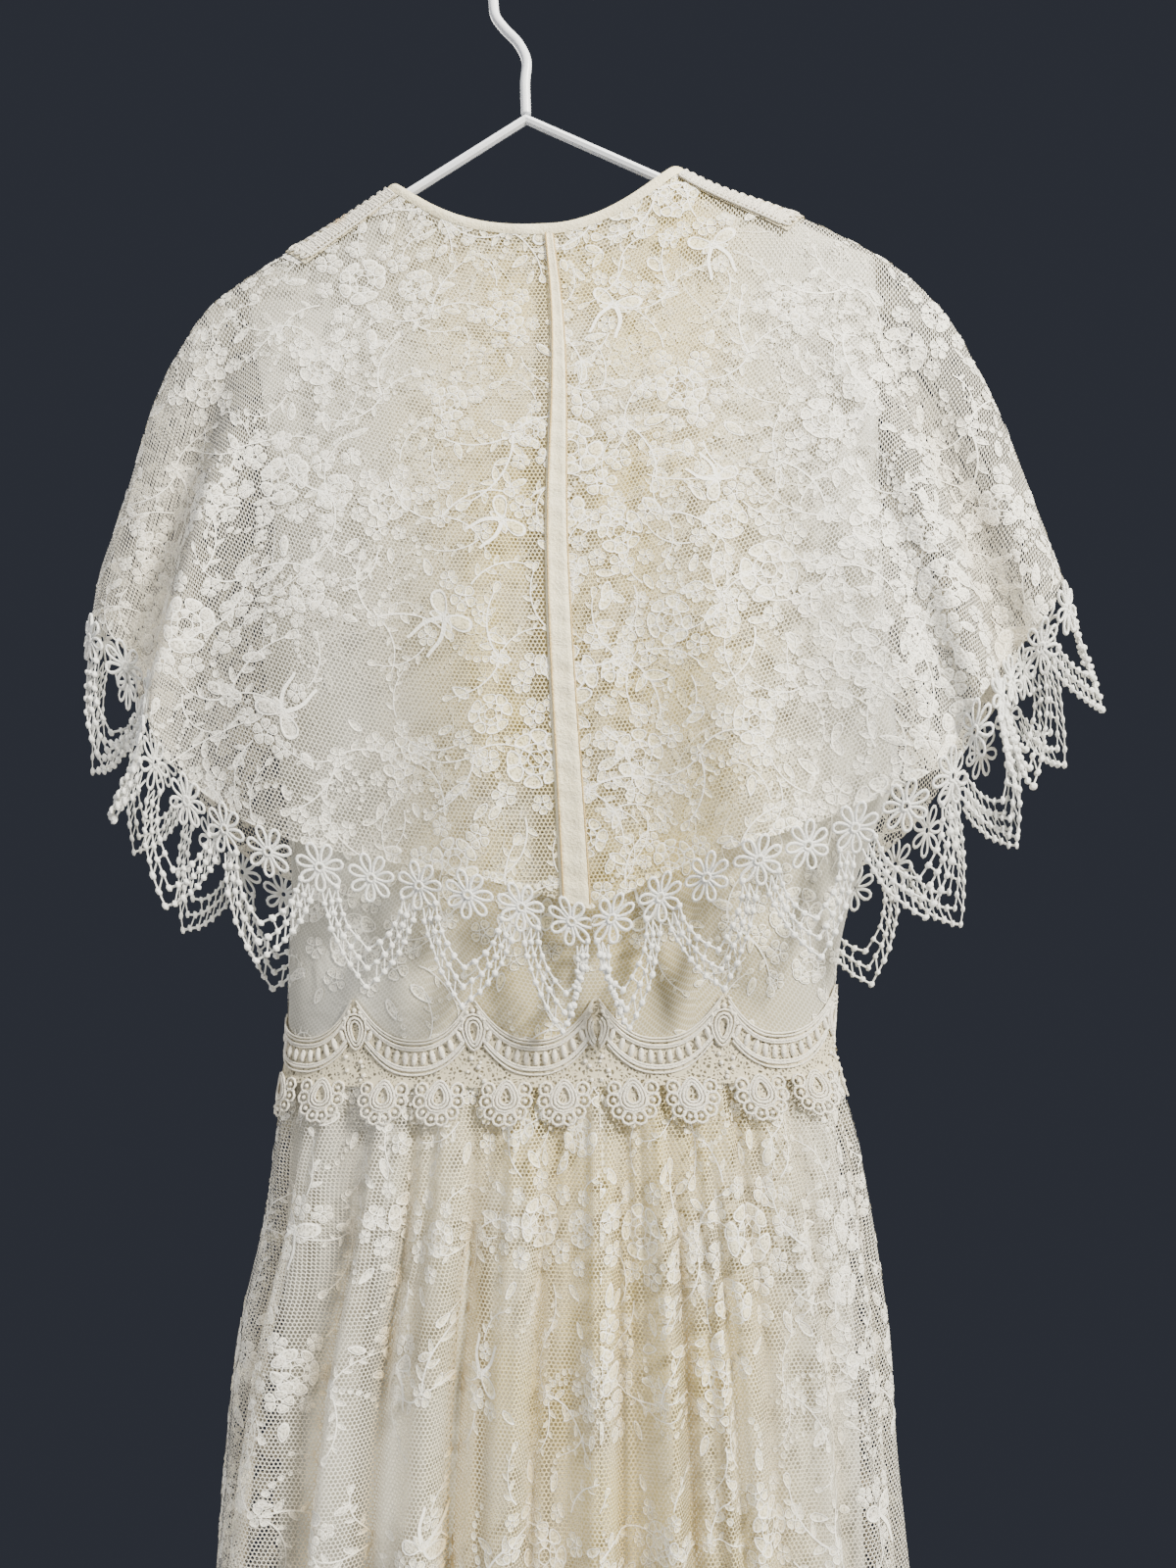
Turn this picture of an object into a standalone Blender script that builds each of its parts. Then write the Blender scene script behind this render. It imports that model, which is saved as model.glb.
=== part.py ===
"""Lace wedding dress with a capelet, hanging on a coated wire hanger, at its real size.

Metres, +Z up. The origin is the inside of the hook's top. The dress's front faces -Y,
its back faces +Y, and +X is the wearer's left. A drop is a distance below the origin.
Cloth is a thin wall: its outer face follows a function of a place across (0 at the
centre line, 1 at the left side, -1 at the right side) and a place down (0 to 1).
"""

import bisect
import functools
import math
from collections import namedtuple

import bmesh
import bpy
import numpy as np
from mathutils import Vector

# Cloth, seams and layers
CLOTH_WALL = 0.001
SEAM_HALF_GAP = 0.00016
LAYER_GAP = 0.0004
TRIM_WALL = 0.0013
OVAL_POWER = 2.5
NORMAL_STEP = 0.002
TRIM_STEP = 0.0015
SHARP_EDGE = math.radians(50)

# Neck, shoulders and armholes
NECK_BACK_DROP = 0.1565
NECK_FRONT_DROP = 0.200
NECK_CURVE = {("back", 1): 2.6, ("back", -1): 1.9, ("front", 1): 2.2, ("front", -1): 2.2}
CENTRE_FRONT = 0.005
RIDGE_STEP = 0.0021
UNDERARM_DROP = 0.359
ARMHOLE_HALF = 0.024
ARMHOLE_ROUND = 1.3

# Waist and hems
WAIST_DROP = 0.578
SKIRT_TOP_DROP = 0.5785
SKIRT_HEM_DROP = 1.608
LINING_HEM_DROP = 1.585
GATHERS = 20
FRONT_GATHER_SHARE = 0.8
GATHER_MEAN = 0.72
GATHER_SWELL = 0.28
GATHER_SHIFT = 0.6

# Capelet: how far it stands off the bodice, and where its folds begin and fade
LOOSENESS = {"back": 0.0055, "front": 0.0045}
LOOSE_FROM = 0.13
LOOSE_IN_FULL = 0.24
FOLD_START = 0.25
FOLD_FADE = 12

# Guipure edging of the capelet: a pair of daisies and one beaded swag for each repeat
REPEAT = 0.050
FIRST_DAISY = 0.035
CLOTH_ABOVE_DAISIES = 0.0118
SWAG_SWING = 0.35
SWING_STEP = 0.01
STATION_CLEARANCE = 0.0025

# Guipure band of the waist
SWAG = 0.060
BAND_LIFT = 0.0016
WAIST_ROLL = -0.006

# Hanger
WIRE_RADIUS = 0.00255
HOOK_RADIUS = 0.0265
HOOK_TOP_DROP = HOOK_RADIUS - WIRE_RADIUS
VERTEX = (0.0105, 0.093)
LEFT_SLOPE = 0.562
RIGHT_SLOPE = 0.513
LEFT_REACH = 0.1330
RIGHT_REACH = 0.1460
BAR_CORNER = 0.013
WELD_GAP = 0.0008

Section = namedtuple("Section", "drop left right back front gather")
# The dress round the body: side places, half depths behind and before, depth of the gathers
TORSO = (
    Section(0.125, 0.1580, -0.1650, 0.0140, 0.0140, 0.0),
    Section(0.160, 0.1580, -0.1650, 0.0145, 0.0150, 0.0),
    Section(0.185, 0.1570, -0.1645, 0.0165, 0.0170, 0.0),
    Section(0.230, 0.1470, -0.1610, 0.0250, 0.0240, 0.0),
    Section(0.300, 0.1410, -0.1590, 0.0380, 0.0330, 0.0),
    Section(0.359, 0.1535, -0.1640, 0.0460, 0.0370, 0.0),
    Section(0.400, 0.1490, -0.1665, 0.0475, 0.0375, 0.0),
    Section(0.437, 0.1440, -0.1660, 0.0460, 0.0375, 0.0),
    Section(0.475, 0.1415, -0.1500, 0.0425, 0.0370, 0.0),
    Section(0.530, 0.1445, -0.1345, 0.0355, 0.0350, 0.0),
    Section(0.578, 0.1470, -0.1310, 0.0310, 0.0310, 0.0012),
    Section(0.617, 0.1525, -0.1390, 0.0360, 0.0310, 0.0030),
    Section(0.651, 0.1565, -0.1435, 0.0410, 0.0320, 0.0045),
    Section(0.704, 0.1690, -0.1490, 0.0490, 0.0330, 0.0058),
    Section(0.780, 0.1795, -0.1520, 0.0580, 0.0340, 0.0065),
    Section(0.819, 0.1830, -0.1545, 0.0630, 0.0350, 0.0070),
    Section(1.200, 0.2220, -0.1960, 0.0880, 0.0360, 0.0080),
    Section(1.608, 0.2600, -0.2360, 0.1050, 0.0370, 0.0085),
)
LINING = (
    Section(0.5785, 0.1440, -0.1280, 0.0280, 0.0280, 0.0002),
    Section(0.704, 0.1500, -0.1360, 0.0380, 0.0240, 0.0015),
    Section(0.819, 0.1550, -0.1370, 0.0480, 0.0240, 0.0020),
    Section(1.200, 0.1750, -0.1600, 0.0640, 0.0240, 0.0030),
    Section(1.585, 0.1950, -0.1800, 0.0740, 0.0240, 0.0040),
)

Line = namedtuple("Line", "drop x")
CENTRE_BACK = (
    Line(0.1565, -0.0025),
    Line(0.205, -0.0075),
    Line(0.326, -0.0085),
    Line(0.505, -0.0145),
    Line(0.668, -0.0135),
    Line(0.804, -0.0105),
    Line(1.608, 0.0020),
)

Outline = namedtuple("Outline", "drop left right")
# The capelet's side: from the neck point along the shoulder ridge and down to the hem
CAPE_SIDE = (
    Outline(0.1250, 0.0795, -0.0665),
    Outline(0.1375, 0.1015, -0.0900),
    Outline(0.1500, 0.1245, -0.1215),
    Outline(0.1645, 0.1510, -0.1500),
    Outline(0.1800, 0.1755, -0.1745),
    Outline(0.2060, 0.1960, -0.1990),
    Outline(0.2350, 0.2100, -0.2140),
    Outline(0.2630, 0.2190, -0.2255),
    Outline(0.2930, 0.2285, -0.2355),
    Outline(0.3220, 0.2390, -0.2445),
    Outline(0.3500, 0.2440, -0.2530),
)

Hem = namedtuple("Hem", "x drop")
# The line through the daisies' centres, from the centre line to the side
CAPE_HEM = {
    ("back", 1): (
        Hem(-0.0145, 0.505),
        Hem(0.0455, 0.487),
        Hem(0.0925, 0.479),
        Hem(0.1390, 0.465),
        Hem(0.1695, 0.448),
        Hem(0.1875, 0.433),
        Hem(0.2025, 0.390),
        Hem(0.2185, 0.372),
        Hem(0.2440, 0.350),
    ),
    ("back", -1): (
        Hem(-0.0145, 0.505),
        Hem(-0.0465, 0.492),
        Hem(-0.0805, 0.4785),
        Hem(-0.1230, 0.467),
        Hem(-0.1505, 0.457),
        Hem(-0.1815, 0.440),
        Hem(-0.1985, 0.411),
        Hem(-0.2285, 0.384),
        Hem(-0.2530, 0.350),
    ),
    ("front", 1): (
        Hem(0.005, 0.525),
        Hem(0.070, 0.521),
        Hem(0.130, 0.503),
        Hem(0.1755, 0.483),
        Hem(0.200, 0.452),
        Hem(0.218, 0.418),
        Hem(0.244, 0.350),
    ),
    ("front", -1): (
        Hem(0.005, 0.525),
        Hem(-0.070, 0.521),
        Hem(-0.130, 0.505),
        Hem(-0.170, 0.485),
        Hem(-0.197, 0.454),
        Hem(-0.220, 0.420),
        Hem(-0.253, 0.350),
    ),
}

Fold = namedtuple("Fold", "across width height")
# Ridges and troughs of the capelet, at their full height on its hem
CAPE_FOLDS = {
    ("back", 1): (
        Fold(0.17, 0.07, 0.007),
        Fold(0.33, 0.06, -0.003),
        Fold(0.50, 0.08, 0.005),
        Fold(0.75, 0.06, 0.014),
        Fold(0.86, 0.05, -0.020),
    ),
    ("back", -1): (
        Fold(0.12, 0.05, -0.003),
        Fold(0.27, 0.07, 0.008),
        Fold(0.42, 0.05, -0.003),
        Fold(0.58, 0.07, 0.006),
        Fold(0.72, 0.05, 0.012),
        Fold(0.83, 0.05, -0.018),
    ),
    ("front", 1): (Fold(0.25, 0.10, -0.006), Fold(0.62, 0.08, -0.008), Fold(0.84, 0.06, -0.014)),
    ("front", -1): (Fold(0.30, 0.10, -0.006), Fold(0.60, 0.08, -0.008), Fold(0.83, 0.06, -0.014)),
}

Tone = namedtuple("Tone", "colour roughness")
TONES = {
    "bodice": Tone((0.80, 0.77, 0.68), 0.45),
    "lace": Tone((0.86, 0.83, 0.75), 0.65),
    "lining": Tone((0.78, 0.75, 0.66), 0.40),
    "guipure": Tone((0.88, 0.87, 0.82), 0.55),
    "band": Tone((0.84, 0.80, 0.70), 0.50),
    "wire": Tone((0.86, 0.87, 0.90), 0.30),
}


CURVES = {}


def curve_of(rows, column):
    """The keys, values and slopes of one column of a table, worked out once."""
    known = CURVES.get((id(rows), column))
    if known is None:
        keys = [float(row[0]) for row in rows]
        values = [float(getattr(row, column)) for row in rows]
        slopes = [float(slope) for slope in np.gradient(values, keys)]
        known = CURVES[id(rows), column] = (keys, values, slopes)
    return known


def through(rows, column, place):
    """A smooth curve through one column of a table, read at a place in its first column."""
    keys, values, slopes = curve_of(rows, column)
    place = min(max(place, keys[0]), keys[-1])
    i = min(max(bisect.bisect_left(keys, place) - 1, 0), len(keys) - 2)
    step = keys[i + 1] - keys[i]
    s = (place - keys[i]) / step
    start = (1 + 2 * s) * (1 - s) ** 2 * values[i] + s * (1 - s) ** 2 * step * slopes[i]
    end = s * s * (3 - 2 * s) * values[i + 1] + s * s * (s - 1) * step * slopes[i + 1]
    return start + end


def side_name(side):
    return "left" if side > 0 else "right"


def side_of(across):
    return 1 if across >= 0 else -1


def centre_x(face, drop):
    return through(CENTRE_BACK, "x", drop) if face == "back" else CENTRE_FRONT


def oval(share):
    """Half depth of a flat oval, as a share of its middle, at a share of the way to its side."""
    return (1 - min(max(share, 0.0), 1.0) ** OVAL_POWER) ** (1 / OVAL_POWER)


def outward(face):
    return 1 if face == "back" else -1


# Shoulder ridge

def ridge_x(side, drop):
    return through(CAPE_SIDE, side_name(side), drop)


def ridge_drop(side, x):
    """The ridge's drop at a place across: the inverse of ridge_x, by halving."""
    low, high = CAPE_SIDE[0].drop, CAPE_SIDE[-1].drop
    for _ in range(30):
        middle = (low + high) / 2
        if side * ridge_x(side, middle) < side * x:
            low = middle
        else:
            high = middle
    return (low + high) / 2


def neck_drop(face, side, share):
    """The neckline's drop at a share of the way from its middle to the neck point."""
    deep = NECK_BACK_DROP if face == "back" else NECK_FRONT_DROP
    return deep - (deep - CAPE_SIDE[0].drop) * min(share, 1.0) ** NECK_CURVE[face, side]


def neck_x(side):
    return getattr(CAPE_SIDE[0], side_name(side))


# Bodice

def tip_x(side):
    return getattr(TORSO[0], side_name(side))


@functools.cache
def tip_drop(side):
    return ridge_drop(side, tip_x(side)) + RIDGE_STEP


def bodice_top(face, side, x):
    middle = centre_x(face, NECK_BACK_DROP)
    share = (x - middle) / (neck_x(side) - middle)
    if share < 1:
        return neck_drop(face, side, share) + RIDGE_STEP
    return ridge_drop(side, x) + RIDGE_STEP


def armhole_half(side, drop):
    """Half the gap between the armhole's front and back edges."""
    share = (drop - tip_drop(side)) / (UNDERARM_DROP - tip_drop(side))
    if not 0 < share < 1:
        return 0.0
    return ARMHOLE_HALF * math.sin(math.pi * share) ** ARMHOLE_ROUND


def bodice_depth(face, side, x, drop, share):
    middle = centre_x(face, drop)
    depth = through(TORSO, face, drop)
    if drop < tip_drop(side):
        edge = ridge_x(side, drop - RIDGE_STEP)
        return depth * oval((x - middle) / (edge - middle))
    half = armhole_half(side, drop)
    return half + (depth - half) * oval(share)


def bodice(face, across, down):
    side, share = side_of(across), abs(across)
    middle = centre_x(face, NECK_BACK_DROP)
    top = bodice_top(face, side, middle + share * (tip_x(side) - middle))
    drop = top + down * (WAIST_DROP - top)
    middle = centre_x(face, drop)
    x = middle + share * (through(TORSO, side_name(side), drop) - middle)
    y = outward(face) * bodice_depth(face, side, x, drop, share)
    return Vector((x, y, -drop))


def bodice_columns(face, side):
    """Places across: even to the neck point, then closer towards the side."""
    middle = centre_x(face, NECK_BACK_DROP)
    neck = (neck_x(side) - middle) / (tip_x(side) - middle)
    inner = [neck * part for part in (0, 0.4, 0.75, 0.93, 0.985)]
    outer = [neck + (1 - neck) * math.sin(math.pi / 2 * i / 6) for i in range(7)]
    return [side * place for place in inner + outer]


BODICE_ROWS = (0, 0.006, 0.016, 0.04, 0.09, 0.16, 0.25, 0.36, 0.46, 0.55, 0.65, 0.76, 0.86, 0.93, 1)


# Capelet

def along(points):
    """Lengths along a line of points, from 0 to 1."""
    steps = np.linalg.norm(np.diff(np.asarray(points), axis=0), axis=1)
    total = np.concatenate([[0], np.cumsum(steps)])
    return total / total[-1]


SIDE_SAMPLES = 80


@functools.cache
def cape_side_table(side):
    drops = np.linspace(CAPE_SIDE[0].drop, CAPE_SIDE[-1].drop, SIDE_SAMPLES)
    return along([(ridge_x(side, drop), drop) for drop in drops]), drops


def cape_side(side, down):
    """A point of the capelet's side line: x and drop."""
    places, drops = cape_side_table(side)
    drop = float(np.interp(down, places, drops))
    return np.array((ridge_x(side, drop), drop))


KeyedHem = namedtuple("KeyedHem", "share x drop")


@functools.cache
def keyed_hem(face, side):
    rows = CAPE_HEM[face, side]
    places = along([(row.x, row.drop) for row in rows])
    return tuple(KeyedHem(place, *row) for place, row in zip(places, rows))


def cape_hem(face, side, share):
    rows = keyed_hem(face, side)
    return np.array((through(rows, "x", share), through(rows, "drop", share)))


def cape_neck(face, side, share):
    middle = centre_x(face, NECK_BACK_DROP)
    return np.array((middle + share * (neck_x(side) - middle), neck_drop(face, side, share)))


def cape_centre(face, down):
    top = cape_neck(face, 1, 0)[1]
    drop = top + down * (CAPE_HEM[face, 1][0].drop - top)
    return np.array((centre_x(face, drop), drop))


def cape_outline(face, side, share, down):
    """The place seen from behind, blended from the panel's four edges."""
    corner = (
        (1 - share) * (1 - down) * cape_neck(face, side, 0)
        + share * (1 - down) * cape_neck(face, side, 1)
        + (1 - share) * down * cape_hem(face, side, 0)
        + share * down * cape_hem(face, side, 1)
    )
    across = (1 - share) * cape_centre(face, down) + share * cape_side(side, down)
    upright = (1 - down) * cape_neck(face, side, share) + down * cape_hem(face, side, share)
    return across + upright - corner


def ease(value, low, high):
    share = min(max((value - low) / (high - low), 0.0), 1.0)
    return share * share * (3 - 2 * share)


def cape_depth(face, side, share, x, drop, down):
    middle = centre_x(face, drop)
    loose = LOOSENESS[face] * ease(drop, LOOSE_FROM, LOOSE_IN_FULL)
    depth = through(TORSO, face, drop) + RIDGE_STEP + loose
    depth *= oval((x - middle) / (ridge_x(side, drop) - middle))
    folds = sum(
        fold.height * math.exp(-(((share - fold.across) / fold.width) ** 2))
        for fold in CAPE_FOLDS[face, side]
    )
    return depth + folds * ease(down, FOLD_START, 1.0) * (1 - share**FOLD_FADE)


def cape(face, across, down):
    side, share = side_of(across), abs(across)
    x, drop = cape_outline(face, side, share, down)
    y = outward(face) * cape_depth(face, side, share, x, drop, down)
    return Vector((x, y, -drop))


CAPE_COLUMNS = (
    (0, 0.04, 0.10, 0.17, 0.25, 0.33, 0.42, 0.50)
    + (0.58, 0.66, 0.73, 0.79, 0.85, 0.91, 0.955, 0.985, 1)
)
CAPE_ROWS = (0, 0.028, 0.085, 0.15, 0.21, 0.30, 0.38, 0.45, 0.54, 0.66, 0.82, 1)
LAP_COLUMNS = CAPE_COLUMNS[:2]
BINDING_ROWS = CAPE_ROWS[:2]
SHOULDER_ROWS = CAPE_ROWS[1:5]
SHOULDER_COLUMNS = CAPE_COLUMNS[-4:]


@functools.cache
def cape_length(face, across):
    points = [cape(face, across, down) for down in np.linspace(0, 1, 9)]
    return sum((b - a).length for a, b in zip(points, points[1:]))


def cape_cloth(face, across, row):
    """The capelet's cloth, which ends just above the daisies of its edging."""
    return cape(face, across, row * (1 - CLOTH_ABOVE_DAISIES / cape_length(face, across)))


# Edging of the capelet

HEM_SAMPLES = 160


@functools.cache
def hem_line(face, side):
    """The capelet's hem from the centre line to the side: places across and lengths."""
    places = np.linspace(0, 1, HEM_SAMPLES)
    points = [cape(face, side * place, 1) for place in places]
    steps = [(b - a).length for a, b in zip(points, points[1:])]
    return places, np.concatenate([[0], np.cumsum(steps)])


def edging_point(face, length, below):
    """A point of the edging: a length along the hem, and a distance below the daisies' centres."""
    side = side_of(length)
    places, lengths = hem_line(face, side)
    share = float(np.interp(abs(length), lengths, places))
    if below < 0:
        return cape(face, side * share, 1 + below / cape_length(face, side * share))
    low, high = max(share - SWING_STEP, 0), min(share + SWING_STEP, 1)
    run = cape(face, side * high, 1) - cape(face, side * low, 1)
    run.normalize()
    away = Vector((run.z, 0, -run.x)) * side
    if away.z > 0:
        away = -away
    hang = Vector((0, 0, -1)) * (1 - SWAG_SWING) + away * SWAG_SWING
    return cape(face, side * share, 1) + hang.normalized() * below


Edge = namedtuple("Edge", "phase daisy_top daisy_foot inner_top inner_foot outer_top outer_foot")
# Half of one repeat, from a daisy that carries the swags to the one over the swag's tip
EDGING = (
    Edge(0.00, -0.0108, 0.0070, 0.0090, 0.0110, 0.0130, 0.0150),
    Edge(0.14, -0.0060, 0.0060, 0.0105, 0.0150, 0.0205, 0.0255),
    Edge(0.42, -0.0085, 0.0085, 0.0290, 0.0345, 0.0450, 0.0510),
    Edge(0.50, -0.0108, 0.0110, 0.0335, 0.0390, 0.0500, 0.0565),
)
DAISY_SIDE = EDGING[1].phase
NEXT_DAISY_SIDE = EDGING[2].phase
BIG_GAP_ROW, SLOT_ROW = 1, 3


def phase_in(length, first, repeat):
    """How far a length is from the nearest start of a repeat, from 0 to a half."""
    phase = ((abs(length) - first) / repeat) % 1
    return min(phase, 1 - phase)


def phases_of(table):
    """The places of one whole repeat at which a trim has a row of points."""
    return [row.phase for row in table] + [1 - row.phase for row in table[1:-1]]


def edging_stations(face, side):
    """Lengths along the hem at which the edging has a row of points."""
    total = float(hem_line(face, side)[1][-1])
    repeats = range(-1, int(total / REPEAT) + 2)
    every = [FIRST_DAISY + REPEAT * (k + phase) for k in repeats for phase in phases_of(EDGING)]
    low, high = STATION_CLEARANCE, total - STATION_CLEARANCE
    return [0.0] + sorted(place for place in every if low < place < high) + [total]


def edging_gaps(stations):
    """The cells that are cut away: the space under a daisy, and the slots between strands."""
    gaps = set()
    for i, (a, b) in enumerate(zip(stations, stations[1:])):
        phase = phase_in((a + b) / 2, FIRST_DAISY, REPEAT)
        if phase > DAISY_SIDE:
            gaps.add((i, BIG_GAP_ROW))
        if DAISY_SIDE < phase < NEXT_DAISY_SIDE:
            gaps.add((i, SLOT_ROW))
    return gaps


# Skirt

def gather_wave(turn):
    """Height of the gathers round the skirt, from -1 to 1, uneven as hand-drawn gathers are."""
    slow = math.cos(4 * math.pi * turn + GATHER_SHIFT) * math.cos(6 * math.pi * turn)
    return (GATHER_MEAN + GATHER_SWELL * slow) * math.cos(2 * math.pi * GATHERS * turn)


def quarter_share(half_width, half_depth, part):
    """The share across at a part of the length of an oval's quarter."""
    shares = np.sin(np.linspace(0, math.pi / 2, 40))
    points = [(half_width * share, half_depth * oval(share)) for share in shares]
    return float(np.interp(part, along(points), shares))


def skirt_point(rows, face, across, drop):
    """A point of a skirt: across is a part of the cloth's own length from the centre line."""
    side, part = side_of(across), abs(across)
    middle = centre_x(face, drop)
    reach = through(rows, side_name(side), drop) - middle
    depth = through(rows, face, drop)
    share = quarter_share(abs(reach), depth, part)
    turn = (part if face == "back" else 2 - part) / 4
    gather = through(rows, "gather", drop) * gather_wave(side * turn)
    if face == "front":
        gather *= FRONT_GATHER_SHARE
    base = Vector((middle + share * reach, outward(face) * depth * oval(share), -drop))
    bulge = Vector((reach * share**3, outward(face) * abs(reach) * (1 - share**3), 0))
    return base + bulge.normalized() * gather


SKIRT_ROWS = (0, 0.03, 0.08, 0.15, 0.26, 0.40, 0.58, 0.78, 1)
LINING_ROWS = (0, 0.12, 0.35, 0.65, 1)
WAVES_IN_QUARTER = GATHERS // 4


def lace_skirt(face, across, down):
    drop = SKIRT_TOP_DROP + down * (SKIRT_HEM_DROP - SKIRT_TOP_DROP)
    return skirt_point(TORSO, face, across, drop)


def lining_skirt(face, across, down):
    drop = SKIRT_TOP_DROP + down * (LINING_HEM_DROP - SKIRT_TOP_DROP)
    return skirt_point(LINING, face, across, drop)


def skirt_columns(steps_in_wave):
    count = WAVES_IN_QUARTER * steps_in_wave
    return [i / count for i in range(count + 1)]


# Waist band

Scallop = namedtuple("Scallop", "phase top hole_top hole_foot foot")
# Half of one swag of the band: drops below the waist seam, negative above it
WAIST_BAND = (
    Scallop(0.00, -0.0400, -0.0020, 0.0060, 0.0075),
    Scallop(0.21, -0.0235, 0.0020, 0.0090, 0.0215),
    Scallop(0.29, -0.0205, 0.0020, 0.0090, 0.0215),
    Scallop(0.50, -0.0170, -0.0020, 0.0060, 0.0110),
)
HOLE_FROM = WAIST_BAND[1].phase
HOLE_TO = WAIST_BAND[2].phase
HOLE_ROW = 1
SIDE_STEPS = (0.0025, 0.005, 0.008, 0.012, 0.017)


def band_point(face, length, below):
    """A point over the waist: a length round it from the centre line, a distance below the seam."""
    side = side_of(length)
    drop = WAIST_DROP + below
    middle = centre_x(face, drop)
    reach = through(TORSO, side_name(side), drop) - middle
    depth = through(TORSO, face, drop)
    lift = through(TORSO, "gather", drop) if below > WAIST_ROLL else 0.0
    share = quarter_share(abs(reach), depth, min(abs(length) / waist_length(face, side), 1))
    x = middle + share * (reach + side * lift)
    return Vector((x, outward(face) * (depth + lift) * oval(share), -drop))


@functools.cache
def waist_length(face, side):
    middle = centre_x(face, WAIST_DROP)
    reach = abs(through(TORSO, side_name(side), WAIST_DROP) - middle)
    depth = through(TORSO, face, WAIST_DROP)
    shares = np.sin(np.linspace(0, math.pi / 2, 60))
    points = np.array([(reach * share, depth * oval(share)) for share in shares])
    return float(np.linalg.norm(np.diff(points, axis=0), axis=1).sum())


def band_stations(face, side):
    """Lengths round the waist at which the band has a row of points, closer at the side."""
    total = waist_length(face, side)
    repeats = range(int(total / SWAG) + 2)
    every = [SWAG * (k + phase) for k in repeats for phase in phases_of(WAIST_BAND)]
    last = total - SIDE_STEPS[-1] - STATION_CLEARANCE
    inner = [place for place in every if STATION_CLEARANCE < place < last]
    return [0.0] + sorted(inner) + [total - step for step in reversed(SIDE_STEPS)] + [total]


def band_gaps(stations):
    """The teardrop holes in the fans of the waist band."""
    phases = [phase_in((a + b) / 2, 0, SWAG) for a, b in zip(stations, stations[1:])]
    return {(i, HOLE_ROW) for i, phase in enumerate(phases) if HOLE_FROM < phase < HOLE_TO}


# Making the solids

def normal_at(surface, across, down):
    """The outward direction of a surface, from two short steps over it."""
    low_a, high_a = across - NORMAL_STEP, across + NORMAL_STEP
    low_d, high_d = max(down - NORMAL_STEP, 0), min(down + NORMAL_STEP, 1)
    if abs(high_a) > 1 or abs(low_a) > 1:
        low_a, high_a = sorted((across, across - 2 * NORMAL_STEP * side_of(across)))
    run = surface(high_a, down) - surface(low_a, down)
    fall = surface(across, high_d) - surface(across, low_d)
    return run.cross(fall).normalized()


def object_from(bm, name, tone, collection):
    bmesh.ops.recalc_face_normals(bm, faces=bm.faces[:])
    mesh = bpy.data.meshes.new(name)
    bm.to_mesh(mesh)
    bm.free()
    mesh.shade_smooth()
    mesh.set_sharp_from_angle(angle=SHARP_EDGE)
    mesh.materials.append(material(tone))
    made = bpy.data.objects.new(name, mesh)
    collection.objects.link(made)
    return made


def material(tone):
    name = f"{tone}_finish"
    found = bpy.data.materials.get(name)
    if found:
        return found
    made = bpy.data.materials.new(name)
    made.use_nodes = True
    shader = made.node_tree.nodes["Principled BSDF"]
    shader.inputs["Base Color"].default_value = (*TONES[tone].colour, 1)
    shader.inputs["Roughness"].default_value = TONES[tone].roughness
    shader.inputs["Metallic"].default_value = 0
    return made


def slab(columns, rows, place, gaps=()):
    """A closed wall: a grid with the gaps cut out, doubled, and each point put in its place.

    place(i, j, layer) gives the point of column i and row j, outside (0) or inside (1).
    """
    bm = bmesh.new()
    bmesh.ops.create_grid(bm, x_segments=columns - 1, y_segments=rows - 1, size=0.5)
    for vert in bm.verts:
        vert.co.x = round((vert.co.x + 0.5) * (columns - 1))
        vert.co.y = round((vert.co.y + 0.5) * (rows - 1))
    cut = []
    for face in bm.faces:
        middle = face.calc_center_median()
        if (int(middle.x), int(middle.y)) in gaps:
            cut.append(face)
    bmesh.ops.delete(bm, geom=cut, context="FACES")
    made = bmesh.ops.extrude_face_region(bm, geom=bm.faces[:], use_keep_orig=True)
    for item in made["geom"]:
        if isinstance(item, bmesh.types.BMVert):
            item.co.z = 1
    for vert in bm.verts:
        i, j, layer = (round(value) for value in vert.co)
        vert.co = place(i, j, layer)
    return bm


def at_seam(face, side, point):
    """The point kept on its own side of the shoulder and side seams and of the back seam."""
    if outward(face) * point.y < SEAM_HALF_GAP:
        point.y = outward(face) * SEAM_HALF_GAP
    if side:
        seam = centre_x(face, -point.z)
        if side * (point.x - seam) < SEAM_HALF_GAP:
            point.x = seam + side * SEAM_HALF_GAP
    return point


def cloth(name, tone, face, side, surface, columns, rows, lift=0.0, wall=CLOTH_WALL, gaps=()):
    """One piece of cloth on a surface of its face; side 0 has no seam on the centre line."""

    def place(i, j, layer):
        across, down = columns[i], rows[j]
        out = normal_at(surface, across, down) * outward(face)
        point = surface(across, down) + out * (lift + wall * (1 - layer if lift else -layer))
        return at_seam(face, side, point)

    return object_from(slab(len(columns), len(rows), place, gaps), name, tone, DRESS)


def both_sides(columns):
    """Places from the right side to the left one, for a piece with no seam in its middle."""
    return [-place for place in reversed(columns[1:])] + list(columns)


def make_bodice():
    for side in (1, -1):
        columns = bodice_columns("back", side)
        surface = functools.partial(bodice, "back")
        cloth(f"bodice_back_{side_name(side)}", "bodice", "back", side, surface, columns, BODICE_ROWS)
    right, left = bodice_columns("front", -1), bodice_columns("front", 1)
    columns = right[::-1] + left[1:]
    surface = functools.partial(bodice, "front")
    cloth("bodice_front", "bodice", "front", 0, surface, columns, BODICE_ROWS)


def make_cape():
    for side in (1, -1):
        columns = [side * place for place in CAPE_COLUMNS]
        surface = functools.partial(cape_cloth, "back")
        cloth(f"cape_back_{side_name(side)}", "lace", "back", side, surface, columns, CAPE_ROWS)
    surface = functools.partial(cape_cloth, "front")
    cloth("cape_front", "lace", "front", 0, surface, both_sides(CAPE_COLUMNS), CAPE_ROWS)


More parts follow.
